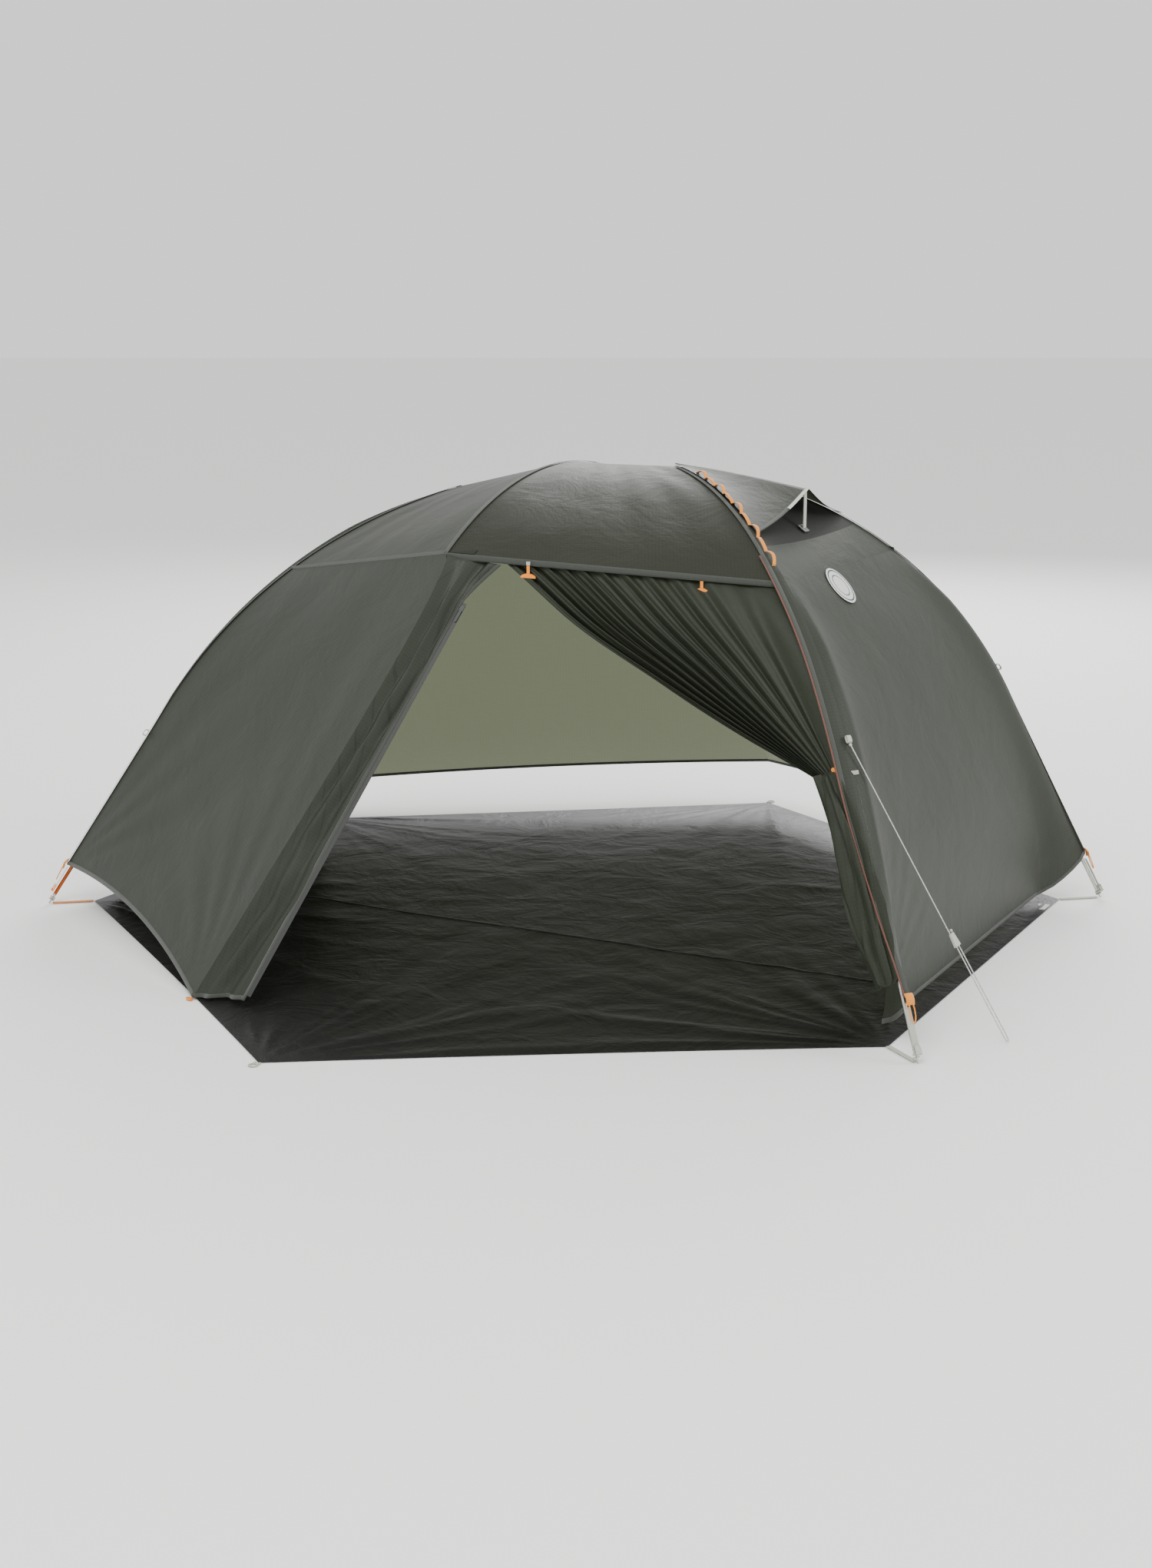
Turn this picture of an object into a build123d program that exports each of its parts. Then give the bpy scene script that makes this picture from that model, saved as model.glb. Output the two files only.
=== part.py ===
from build123d import *
from math import atan2, cos, degrees, hypot, pi, radians, sin, tan
import os

os.makedirs("parts", exist_ok=True)

# Two-person hub-pole tent, pitched with its rainfly, poles and footprint only.
# Origin: on the ground under the middle of the ridge.  +X: head end, -Y: open door, +Z: up.

# ---- driving dimensions (mm) ------------------------------------------------------------
floor_length = 2240
head_half_width = 660
foot_half_width = 532
apex_y = 1360                    # outer corners of the footprint, where the vestibules end
footprint_thickness = 1.5
pole_foot_out_x = 91             # pole feet stand this far outside the floor corners
pole_foot_out_y = 72

hub_x = 300
hub_head_z = 1135
hub_foot_z = 1065
ridge_radius = 2000
head_slopes = (5, 62)            # leg slope below level at the hub, and at the straight end
foot_slopes = (15, 57)
brow_half_span = 577
brow_top_z = 1135
brow_end_z = 968

pole_radius = 4.5
pole_bore = 3.9
ferrule_radius = 3.85
ferrule_bore = 2.6
ferrule_reach = 28
shock_cord_radius = 1.4
pin_radius = 2.0
pin_length = 24
plug_length = 20

fly_lift = 14                    # fly surface above the pole axis
cloth = 1.0
seam_gap = 0.5
band_slope_head = 36.7           # where the door band meets the head leg
band_slope_foot = 36.0           # where the band seam meets the foot leg
head_corner_z = 118              # fly corners, heights on the legs
foot_corner_z = 98
rear_hem_z = 138
vestibule_corner = (-380, -1082, 6)
zip_bottom = (-228, -1096, 26)
zip_bend = (58, -605, 876)       # above this the flap's edge turns towards the band
zip_top_share = 0.17             # along the band, from the brow pole to the head leg
band_width = 13
end_hem_z = 26                   # the end hems are clipped in to the footprint's edge


# ---- pole curves ------------------------------------------------------------------------
def make_leg(hub, foot, slopes):
    """A leg lies in one upright plane: an arc from the hub, then a straight run to its foot."""
    span = hypot(foot[0] - hub[0], foot[1] - hub[1])
    way = ((foot[0] - hub[0]) / span, (foot[1] - hub[1]) / span)
    first, last = radians(slopes[0]), radians(slopes[1])
    across = sin(last) - sin(first)
    drop = cos(first) - cos(last)
    radius = (span - hub[2] / tan(last)) / (across - drop / tan(last))
    plane = Plane(origin=(hub[0], hub[1], 0), x_dir=(*way, 0), z_dir=(way[1], -way[0], 0))
    return {"plane": plane, "radius": radius, "slopes": slopes, "top": hub[2], "span": span}


def on_arc(leg, slope, lift=0.0):
    """Point (along, height) in the leg's plane where its arc has this slope, in degrees."""
    first, here = radians(leg["slopes"][0]), radians(slope)
    along = leg["radius"] * (sin(here) - sin(first)) + lift * sin(here)
    height = leg["top"] - leg["radius"] * (cos(first) - cos(here)) + lift * cos(here)
    return along, height


def on_straight(leg, height, lift=0.0):
    """Point (along, height) of the straight run where the pole axis is at this height."""
    last = radians(leg["slopes"][1])
    along = leg["span"] - height / tan(last)
    return along + lift * sin(last), height + lift * cos(last)


def world(leg, point):
    return leg["plane"].from_local_coords(Vector(point[0], point[1], 0))


hub_head = (hub_x, 0, hub_head_z)
hub_foot = (-hub_x, 0, hub_foot_z)
pole_foot_x = floor_length / 2 + pole_foot_out_x
legs = {}
for side_name, side in (("front", -1), ("rear", 1)):
    head_foot = (pole_foot_x, side * (head_half_width + pole_foot_out_y))
    foot_foot = (-pole_foot_x, side * (foot_half_width + pole_foot_out_y))
    legs["head_" + side_name] = make_leg(hub_head, head_foot, head_slopes)
    legs["foot_" + side_name] = make_leg(hub_foot, foot_foot, foot_slopes)


def arc_in(plane, points):
    """One arc through three points of a plane, as a wire."""
    with BuildLine(plane) as run:
        ThreePointArc(*points)
    return run.wire()


def round_run(path, radius, bore=0.0):
    """Sweep a round bar or tube along a wire into the part that is being built."""
    with BuildSketch(Plane(origin=path @ 0, z_dir=path % 0)) as ring:
        Circle(radius)
        if bore:
            Circle(bore, mode=Mode.SUBTRACT)
    sweep(sections=ring.sketch, path=path)


def finish(builder, label):
    builder.part.label = label
    export_step(builder.part, f"parts/{label}.step")
    print(label, len(builder.part.solids()), round(builder.part.volume))


# ---- legs: three bent sections above, two straight sections below -------------------------
hub_start = 10.0                 # the tubes stop this far from the hub's centre
section_gap = 0.2


def bent_sections(leg):
    first = leg["slopes"][0] + degrees(hub_start / leg["radius"])
    step = (leg["slopes"][1] - first) / 3
    return [(first + i * step, first + (i + 1) * step) for i in range(3)]


def leg_arc(leg, low, high):
    middle = (low + high) / 2
    return arc_in(leg["plane"], [on_arc(leg, s) for s in (low, middle, high)])


def straight_line(leg, high_z, low_z):
    with BuildLine(leg["plane"]) as run:
        Line(on_straight(leg, high_z), on_straight(leg, low_z))
    return run.wire()


def tube_foot_height(leg):
    return (pin_length + 6) * sin(radians(leg["slopes"][1])) + 1.0


def straight_heights(leg):
    top = on_arc(leg, leg["slopes"][1])[1]
    bottom = tube_foot_height(leg)
    return top, (top + bottom) / 2, bottom


for leg_name, leg in legs.items():
    gap_slope = degrees(section_gap / leg["radius"])
    with BuildPart() as upper:
        for low, high in bent_sections(leg):
            round_run(leg_arc(leg, low + gap_slope, high - gap_slope), pole_radius, pole_bore)
    finish(upper, f"leg_upper_{leg_name}")

    top, middle, bottom = straight_heights(leg)
    with BuildPart() as lower:
        for high_z, low_z in ((top, middle), (middle, bottom)):
            round_run(straight_line(leg, high_z - section_gap, low_z + section_gap),
                      pole_radius, pole_bore)
    finish(lower, f"leg_lower_{leg_name}")


# ---- ridge pole and brow pole ---------------------------------------------------------------
ridge_chord = hypot(2 * hub_x, hub_head_z - hub_foot_z)
ridge_tilt = degrees(atan2(hub_head_z - hub_foot_z, 2 * hub_x))
ridge_half_turn = degrees(ridge_chord / 2 / ridge_radius)
ridge_centre = Vector(0, 0, (hub_head_z + hub_foot_z) / 2) - Vector(
    -sin(radians(ridge_tilt)), 0, cos(radians(ridge_tilt))
) * (ridge_radius * cos(radians(ridge_half_turn)))
brow_rise = brow_top_z - brow_end_z
brow_radius = (brow_half_span ** 2 + brow_rise ** 2) / (2 * brow_rise)
brow_half_turn = degrees(atan2(brow_half_span, brow_radius - brow_rise))
ridge_plane = Plane(origin=(0, 0, 0), x_dir=(1, 0, 0), z_dir=(0, -1, 0))
brow_plane = Plane(origin=(0, 0, 0), x_dir=(0, 1, 0), z_dir=(1, 0, 0))


def ridge_at(turn, lift=0.0):
    """Ridge point (x, z), where turn is in degrees from the middle towards the head."""
    angle = radians(90 + ridge_tilt - turn)
    reach = ridge_radius + lift
    return ridge_centre.X + reach * cos(angle), ridge_centre.Z + reach * sin(angle)


def brow_at(turn, lift=0.0):
    """Brow point (y, z), where turn is in degrees from the middle towards the rear."""
    reach = brow_radius + lift
    return reach * sin(radians(turn)), brow_top_z - brow_radius + reach * cos(radians(turn))


def spans(low, high, count):
    step = (high - low) / count
    return [(low + i * step, low + (i + 1) * step) for i in range(count)]


ridge_end_turn = ridge_half_turn - degrees(hub_start / ridge_radius)
ridge_spans = spans(-ridge_end_turn, ridge_end_turn, 2)
ridge_gap = degrees(section_gap / ridge_radius)
with BuildPart() as ridge_pole:
    for low, high in ridge_spans:
        turns = (low + ridge_gap, (low + high) / 2, high - ridge_gap)
        round_run(arc_in(ridge_plane, [ridge_at(t) for t in turns]), pole_radius, pole_bore)
finish(ridge_pole, "ridge_pole")

brow_spans = spans(-brow_half_turn, brow_half_turn, 3)
brow_gap = degrees(section_gap / brow_radius)
with BuildPart() as brow_pole:
    for low, high in brow_spans:
        turns = (low + brow_gap, (low + high) / 2, high - brow_gap)
        round_run(arc_in(brow_plane, [brow_at(t) for t in turns]), pole_radius, pole_bore)
finish(brow_pole, "brow_pole")

# Plugs that close the brow pole's two ends and sit in the fly's pockets.
cap_radius = 6.2
cap_length = 18
with BuildPart() as brow_end_caps:
    for side in (-1, 1):
        y, z = brow_at(side * brow_half_turn)
        outward = Vector(0, side * cos(radians(brow_half_turn)), -sin(radians(brow_half_turn)))
        start = Vector(0, y, z) - outward * (cap_length - 2)
        with BuildSketch(Plane(origin=start, z_dir=outward)):
            Circle(cap_radius)
        extrude(amount=cap_length)
        with BuildSketch(Plane(origin=start, z_dir=outward)):
            Circle(4.75)
        extrude(amount=cap_length - 1.8, mode=Mode.SUBTRACT)
finish(brow_end_caps, "brow_end_caps")

# ---- inner ferrules and elastic cords ----------------------------------------------------------
with BuildPart() as pole_ferrules:
    for leg in legs.values():
        reach = degrees(ferrule_reach / leg["radius"])
        for low, high in bent_sections(leg)[:2]:
            round_run(leg_arc(leg, high - reach, high + reach), ferrule_radius, ferrule_bore)
        top, middle, bottom = straight_heights(leg)
        last = leg["slopes"][1]
        with BuildLine(leg["plane"]) as elbow:
            ThreePointArc(*[on_arc(leg, s) for s in (last - reach, last - reach / 2, last)])
            Line(on_arc(leg, last), on_straight(leg, top - ferrule_reach * sin(radians(last))))
        round_run(elbow.wire(), ferrule_radius, ferrule_bore)
        half = ferrule_reach * sin(radians(last))
        round_run(straight_line(leg, middle + half, middle - half), ferrule_radius, ferrule_bore)
    reach = degrees(ferrule_reach / ridge_radius)
    round_run(arc_in(ridge_plane, [ridge_at(t) for t in (-reach, 0, reach)]),
              ferrule_radius, ferrule_bore)
    reach = degrees(ferrule_reach / brow_radius)
    for low, high in brow_spans[:2]:
        round_run(arc_in(brow_plane, [brow_at(t) for t in (high - reach, high, high + reach)]),
                  ferrule_radius, ferrule_bore)
finish(pole_ferrules, "pole_ferrules")

with BuildPart() as shock_cords:
    for leg in legs.values():
        first = leg["slopes"][0] + degrees((hub_start + 2) / leg["radius"])
        last = leg["slopes"][1]
        low_end = tube_foot_height(leg) + (plug_length + 3) * sin(radians(last))
        with BuildLine(leg["plane"]) as cord_path:
            ThreePointArc(*[on_arc(leg, s) for s in (first, (first + last) / 2, last)])
            Line(on_arc(leg, last), on_straight(leg, low_end))
        round_run(cord_path.wire(), shock_cord_radius)
    inner = ridge_end_turn - 0.1
    round_run(arc_in(ridge_plane, [ridge_at(t) for t in (-inner, 0, inner)]), shock_cord_radius)
    inner = brow_half_turn - 0.3
    round_run(arc_in(brow_plane, [brow_at(t) for t in (-inner, 0, inner)]), shock_cord_radius)
finish(shock_cords, "shock_cords")

# ---- pole tips: a plug in the tube, a shoulder and a pin that stands on the ground -------------
shoulder = 6
with BuildPart() as pole_tips:
    for leg in legs.values():
        last = radians(leg["slopes"][1])
        base = world(leg, on_straight(leg, 1.0))
        up_way = world(leg, on_straight(leg, 101.0)) - base
        axis = Plane(origin=base, z_dir=up_way)
        with BuildSketch(axis):
            Circle(pin_radius)
        extrude(amount=pin_length)
        with BuildSketch(axis.offset(pin_length)):
            Circle(pole_radius)
        extrude(amount=shoulder - 0.4)
        with BuildSketch(axis.offset(pin_length + shoulder - 0.4)):
            Circle(ferrule_radius)
        extrude(amount=plug_length)
finish(pole_tips, "pole_tips")


# ---- hubs: a ball with three sockets -------------------------------------------------------------
socket_bore = 5.2
socket_radius = 7.8
socket_length = 36


def build_hub(label, centre, ways):
    with BuildPart() as hub:
        with Locations(centre):
            Sphere(12)
        for way in ways:
            with BuildSketch(Plane(origin=centre, z_dir=way)):
                Circle(socket_radius)
            extrude(amount=socket_length)
        for way in ways:
            mouth = Plane(origin=centre, z_dir=way).offset(hub_start - 0.6)
            with BuildSketch(mouth):
                Circle(socket_bore)
            extrude(amount=socket_length, mode=Mode.SUBTRACT)
    finish(hub, label)


def leg_start_way(leg):
    slope = radians(leg["slopes"][0])
    x_dir = leg["plane"].x_dir
    return Vector(x_dir.X * cos(slope), x_dir.Y * cos(slope), -sin(slope))


head_turn, foot_turn = radians(ridge_half_turn - ridge_tilt), radians(ridge_half_turn + ridge_tilt)
ridge_way_head = Vector(-cos(head_turn), 0, sin(head_turn))
ridge_way_foot = Vector(cos(foot_turn), 0, sin(foot_turn))
build_hub("hub_head", hub_head,
          [ridge_way_head, leg_start_way(legs["head_front"]), leg_start_way(legs["head_rear"])])
build_hub("hub_foot", hub_foot,
          [ridge_way_foot, leg_start_way(legs["foot_front"]), leg_start_way(legs["foot_rear"])])

# Clip that holds the brow pole across the ridge pole.
ridge_mid_x, ridge_mid_z = ridge_at(0)
clip_bore = pole_radius + 0.35
clip_height = brow_top_z - ridge_mid_z + 2 * pole_radius + 6
with BuildPart() as brow_clip:
    with Locations((0, 0, (brow_top_z + ridge_mid_z) / 2)):
        Box(18, 18, clip_height)
    fillet(brow_clip.edges().filter_by(Axis.Z), 3)
    tilt = radians(ridge_tilt)
    start = Vector(0, 0, ridge_mid_z) - Vector(cos(tilt), 0, sin(tilt)) * 20
    with BuildSketch(Plane(origin=start, z_dir=(cos(tilt), 0, sin(tilt)))):
        Circle(clip_bore)
    extrude(amount=40, mode=Mode.SUBTRACT)
    with BuildSketch(Plane(origin=(0, -20, brow_top_z), z_dir=(0, 1, 0))):
        Circle(clip_bore)
    extrude(amount=40, mode=Mode.SUBTRACT)
finish(brow_clip, "brow_clip")


# ---- cloth plates -----------------------------------------------------------------------------------
def flat_plane(points, inside=(0, 0, 300)):
    """Plane through three or more points of a flat panel, facing away from the tent's middle."""
    a, b, c = (Vector(p) for p in points[:3])
    normal = (b - a).cross(c - a).normalized()
    if normal.dot(a - Vector(inside)) < 0:
        normal = -normal
    return Plane(origin=a, x_dir=(b - a), z_dir=normal)


def plate(points, thickness=cloth, gap=seam_gap, start=0.0, inside=(0, 0, 300)):
    """Add a flat plate with these corners; it stands outward from them by its thickness."""
    plane = flat_plane(points, inside)
    corners = [plane.to_local_coords(Vector(p)) for p in points]
    with BuildSketch(plane.offset(start)) as face:
        with BuildLine():
            Polyline(*[(p.X, p.Y) for p in corners], close=True)
        make_face()
        if gap:
            offset(amount=-gap, kind=Kind.INTERSECTION, mode=Mode.REPLACE)
    extrude(to_extrude=face.sketch, amount=thickness)


def ruled(left, right, thickness=cloth):
    """Triangles between two rows of points."""
    for i in range(len(left) - 1):
        if (left[i] - right[i]).length > 5:
            plate([left[i], right[i], left[i + 1]], thickness)
        plate([right[i], right[i + 1], left[i + 1]], thickness)


def between(a, b, share):
    return Vector(a) + (Vector(b) - Vector(a)) * share


def row(a, b, count):
    return [between(a, b, i / count) for i in range(count + 1)]


def leg_rows(leg, band_slope, corner_z):
    """Fly points over a leg: from the hub to the band, and from the band to the corner."""
    first, last = leg["slopes"]
    above = [world(leg, on_arc(leg, s, fly_lift))
             for s in (first + (band_slope - first) * i / 3 for i in range(4))]
    below = [world(leg, on_arc(leg, s, fly_lift))
             for s in (band_slope + (last - band_slope) * i / 3 for i in range(4))]
    below.append(world(leg, on_straight(leg, corner_z, fly_lift)))
    return above, below


fly = {}
for leg_name, leg in legs.items():
    at_head = leg_name.startswith("head")
    slope = band_slope_head if at_head else band_slope_foot
    fly[leg_name] = leg_rows(leg, slope, head_corner_z if at_head else foot_corner_z)


def brow_row(side):
    return [Vector(0, *brow_at(side * brow_half_turn * i / 3, fly_lift)) for i in range(4)]


brow_rows = {"front": brow_row(-1), "rear": brow_row(1)}
for end in ("head", "foot"):
    with BuildPart() as roof:
        ruled(brow_rows["front"], fly[f"{end}_front"][0])
    finish(roof, f"roof_front_{end}")
with BuildPart() as roof_rear:
    for end in ("head", "foot"):
        ruled(brow_rows["rear"], fly[f"{end}_rear"][0])
finish(roof_rear, "roof_rear")

# End walls: flat strips across between the two legs, the lowest one drawn in to the footprint.
hem_inset_x = 42
hem_inset_y = 62
pole_clearance = Vector(0, 22, 0)    # the lowest strip starts beside the poles, not across them
for end, corner_z in (("head", head_corner_z), ("foot", foot_corner_z)):
    above_front, below_front = fly[f"{end}_front"]
    above_rear, below_rear = fly[f"{end}_rear"]
    front_row, rear_row = above_front + below_front[1:], above_rear + below_rear[1:]
    way_out, half_width = (1, head_half_width) if end == "head" else (-1, foot_half_width)
    hem_x, hem_y = way_out * (floor_length / 2 - hem_inset_x), half_width - hem_inset_y
    hem_front, hem_rear = Vector(hem_x, -hem_y, end_hem_z), Vector(hem_x, hem_y, end_hem_z)
    first_strip = 3 if end == "head" else 0
    with BuildPart() as wall:
        for i in range(first_strip, len(front_row) - 1):
            corners = [front_row[i], front_row[i + 1], rear_row[i + 1], rear_row[i]]
            if (front_row[i] - rear_row[i]).length < 10:
                corners = corners[:3]
            plate(corners)
        plate([front_row[-1] + pole_clearance, hem_front, hem_rear, rear_row[-1] - pole_clearance])
    finish(wall, f"end_wall_{end}")

# Mesh of the head vent, under the hood: the top of the head end wall.
front_row, rear_row = fly["head_front"][0], fly["head_rear"][0]
with BuildPart() as vent_mesh:
    plate([front_row[0], front_row[1], rear_row[1]])
    for i in (1, 2):
        plate([front_row[i], front_row[i + 1], rear_row[i + 1], rear_row[i]])
finish(vent_mesh, "vent_mesh")

# Hood over the vent: it follows both legs from the hub and rises to a tip that a strut holds up.
hood_lift = 7
hood_end_slope = 30.0
hood_tip = Vector(652, 0, 1106)
hood_top = Vector(hub_x + 4, 0, hub_head_z + fly_lift + hood_lift)
head_first = head_slopes[0]
head_step = (band_slope_head - head_first) / 3
hood_slopes = (head_first, head_first + head_step, head_first + 2 * head_step, hood_end_slope)
hood_share = (0.0, 0.42, 0.84, 1.0)
with BuildPart() as vent_hood:
    for side_name in ("front", "rear"):
        leg = legs["head_" + side_name]
        edge = [world(leg, on_arc(leg, slope, fly_lift + hood_lift)) for slope in hood_slopes]
        edge = [Vector(p.X, p.Y * 0.985, p.Z) for p in edge]
        crest = [between(hood_top, hood_tip, share) for share in hood_share]
        plate([crest[0], edge[1], crest[1]])
        ruled(edge[1:], crest[1:])
finish(vent_hood, "vent_hood")

# Strut that props the hood, standing on the vent mesh in the middle.
wall_strip = (front_row[2], front_row[3], rear_row[3])
wall_plane = flat_plane(wall_strip)
share = (640 - front_row[2].X) / (front_row[3].X - front_row[2].X)
strut_foot = Vector(640, 0, front_row[2].Z + share * (front_row[3].Z - front_row[2].Z))
strut_foot = strut_foot + wall_plane.z_dir * (cloth + 4)
strut_height = hood_tip.Z - strut_foot.Z - 5
with BuildPart() as vent_strut:
    with BuildSketch(Plane(origin=strut_foot - Vector(0, 0, 2), z_dir=(0, 0, 1))):
        RectangleRounded(3, 16, 1.2)
    extrude(amount=strut_height + 2)
finish(vent_strut, "vent_strut")
print("vent strut pivot", tuple(round(v / 1000, 5) for v in strut_foot))
with BuildPart() as vent_patch:
    with BuildSketch(Plane(origin=strut_foot - wall_plane.z_dir * 3.6, z_dir=wall_plane.z_dir)):
        RectangleRounded(24, 30, 4)
    extrude(amount=0.9)
finish(vent_patch, "vent_patch")

# ---- vestibule panels -------------------------------------------------------------------------------
brow_front = brow_rows["front"][-1]
brow_rear = brow_rows["rear"][-1]
corner_v = Vector(vestibule_corner)
zip_low = Vector(zip_bottom)
zip_corner = Vector(zip_bend)
band_head = fly["head_front"][0][-1]
band_foot = fly["foot_front"][0][-1]
drop = Vector(0, 0, -band_width)
flap_top = brow_front + drop * 1.3
zip_high = between(brow_front, band_head, zip_top_share) + drop * 1.3

with BuildPart() as front_fixed_panel:
    ruled(fly["foot_front"][1], row(brow_front, corner_v, 4))
finish(front_fixed_panel, "front_fixed_panel")

with BuildPart() as storm_flap:
    plate([flap_top, zip_low, corner_v])
    plate([flap_top, zip_corner, zip_low])
    plate([flap_top, zip_high, zip_corner])
finish(storm_flap, "storm_flap")

rear_apex = Vector(0, apex_y - 12, rear_hem_z)
rear_ridge = row(brow_rear, rear_apex, 4)
with BuildPart() as rear_panel:
    for end in ("foot", "head"):
        ruled(fly[f"{end}_rear"][1], rear_ridge)
finish(rear_panel, "rear_panel")

# Dark binding along the lower edge of the front roof, over the door.
with BuildPart() as door_band:
    plate([brow_front, band_head, band_head + drop, brow_front + drop], start=cloth + 0.3)
finish(door_band, "door_band")

# ---- open door, gathered to a tie on the head leg -------------------------------------------------------
tie_z = 545
front_leg = legs["head_front"]
leg_way = front_leg["plane"].x_dir
door_inset = 26
tie_back = world(front_leg, on_straight(front_leg, tie_z, fly_lift)) - leg_way * door_inset
tie_back = tie_back + Vector(-18, -10, 0)
door_head = between(band_head, band_foot, 0.035) + drop * 1.5
door_set_back = Vector(0, 13, 0)
door_top = row(zip_high + drop * 0.3 + Vector(10, 0, 0) + door_set_back, door_head + door_set_back, 3)
free_low = between(zip_high, tie_back, 0.36) + Vector(0, 0, -62)
free_high = between(zip_high, tie_back, 0.70) + Vector(0, 0, -46)
door_cloth = 2.5
with BuildPart() as front_door:
    for corners in ((door_top[0], door_top[1], free_low), (door_top[1], free_high, free_low),
                    (door_top[1], door_top[2], free_high), (door_top[2], tie_back, free_high),
                    (door_top[2], door_top[3], tie_back)):
        plate(corners, door_cloth, gap=2.0)
finish(front_door, "front_door")

# The rest of the door hangs in a slim bundle beside the leg.
bundle_low_z = 165
bundle_top = tie_back + Vector(4, -2, -30)
bundle_low = world(front_leg, on_straight(front_leg, bundle_low_z, fly_lift)) + Vector(-42, -10, 0)
bundle_way = (bundle_low - bundle_top).normalized()
with BuildPart() as door_bundle:
    with BuildSketch(Plane(origin=bundle_top, x_dir=(1, 0, 0.4), z_dir=bundle_way)):
        Ellipse(16, 11)
    with BuildSketch(Plane(origin=between(bundle_top, bundle_low, 0.45), x_dir=(1, 0, 0.4),
                           z_dir=bundle_way)):
        Ellipse(28, 13)
    with BuildSketch(Plane(origin=bundle_low, x_dir=(1, 0, 0.4), z_dir=bundle_way)):
        Ellipse(20, 11)
    loft()
finish(door_bundle, "door_bundle")

# ---- zip: a coil strip beside the storm flap, and one slider near the top --------------------------------
zip_run = zip_low - zip_corner
zip_way = zip_run.normalized()
zip_face = flat_plane((flap_top, zip_corner, zip_low))
zip_side = zip_face.z_dir.cross(zip_way)
if zip_side.X < 0:
    zip_side = -zip_side
zip_width = 9
zip_start = zip_corner + zip_way * 4 + zip_side * 1.5
zip_end = zip_low - zip_way * 12 + zip_side * 1.5
with BuildPart() as door_zip:
    plate([zip_start, zip_start + zip_side * zip_width, zip_end + zip_side * zip_width, zip_end],
          thickness=1.2, gap=0)
finish(door_zip, "door_zip")

slider_at = zip_start + zip_way * 14 + zip_side * (zip_width / 2)
slider_plane = Plane(origin=slider_at, x_dir=zip_way, z_dir=zip_face.z_dir)
with BuildPart() as zip_slider:
    with BuildSketch(slider_plane.offset(1.6)):
        RectangleRounded(14, 9, 2)
    extrude(amount=3)
    with BuildSketch(Plane(origin=slider_at + zip_way * 18, x_dir=zip_way,
                           z_dir=zip_face.z_dir).offset(3.2)):
        SlotOverall(34, 6)
    extrude(amount=1.2)
finish(zip_slider, "zip_slider")
print("zip slide way", [round(v, 5) for v in zip_way], "length", round(zip_run.length))

# ---- toggles: a bar on a short elastic, two under the band and one on the tie -----------------------------
band_way = (band_head - brow_front).normalized()
band_plane = flat_plane((brow_front, band_head, band_head + drop))
elastic_length = 26
toggle_out = 11
toggle_tops = {}
for label, share in (("door_toggle_inner", 0.25), ("door_toggle_outer", 0.76)):
    top = between(brow_front, band_head, share) + drop * 0.9 + band_plane.z_dir * toggle_out
    toggle_tops[label] = top
    with BuildPart() as toggle:
        with BuildSketch(Plane(origin=top, x_dir=band_way, z_dir=(0, 0, -1))):
            RectangleRounded(7, 1.6, 0.5)
        extrude(amount=elastic_length)
        with BuildSketch(Plane(origin=top - band_plane.z_dir * 3.5 - Vector(0, 0, elastic_length),
                               x_dir=band_way, z_dir=band_plane.z_dir)):
            with BuildLine():
                Line((-17, -2), (17, -2))
                Line((17, -2), (17, 2))
                ThreePointArc((17, 2), (0, 8), (-17, 2))
                Line((-17, 2), (-17, -2))
            make_face()
        extrude(amount=7)
    finish(toggle, label)
    print(label, "pivot", tuple(round(v / 1000, 5) for v in top))

# Sewn ends of the two elastics on the band, and the strap that carries the tie-back toggle.
strap_way = Vector(band_way.X, band_way.Y, 0.18).normalized()
with BuildPart() as toggle_straps:
    for top in toggle_tops.values():
        with BuildSketch(Plane(origin=top + Vector(0, 0, 1), x_dir=band_way, z_dir=(0, 0, 1))):
            RectangleRounded(9, 3, 1)
        extrude(amount=8)
    with BuildSketch(Plane(origin=tie_back + Vector(6, -16, 4), x_dir=(0, 0, 1), z_dir=strap_way)):
        RectangleRounded(9, 1.4, 0.5)
    extrude(amount=40)
finish(toggle_straps, "toggle_straps")
tie_pivot = tie_back + Vector(-2, -19, 3)
with BuildPart() as tie_toggle:
    with BuildSketch(Plane(origin=tie_pivot, x_dir=(0.35, 0, -0.94), z_dir=(0, -1, 0))):
        SlotOverall(34, 8)
    extrude(amount=7)
finish(tie_toggle, "tie_toggle")
print("tie toggle pivot", tuple(round(v / 1000, 5) for v in tie_pivot))

# ---- trim on the fly -----------------------------------------------------------------------------------------
daisy_points = fly["head_front"][0]
daisy_width = 12
with BuildPart() as daisy_chain:
    for i in range(3):
        low, high = daisy_points[i], daisy_points[i + 1]
        low = between(low, high, 0.03)
        end = between(low, high, 0.93) if i < 2 else between(low, high, 0.12)
        toward_brow = (brow_rows["front"][i + 1] - high).normalized() * daisy_width
        plate([low, end, end + toward_brow, low + toward_brow], thickness=1.4, gap=0, start=cloth + 0.4)
finish(daisy_chain, "daisy_chain")

badge_plane = flat_plane((fly["head_front"][1][0], fly["head_front"][1][1], fly["head_rear"][1][1]))
badge_at = Vector(between(fly["head_front"][1][0], fly["head_front"][1][1], 0.35))
badge_at = Vector(badge_at.X, -105, badge_at.Z)
with BuildPart() as badge:
    with BuildSketch(Plane(origin=badge_at, z_dir=badge_plane.z_dir).offset(cloth + 0.3)):
        Circle(50)
    extrude(amount=0.8)
finish(badge, "badge")

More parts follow.
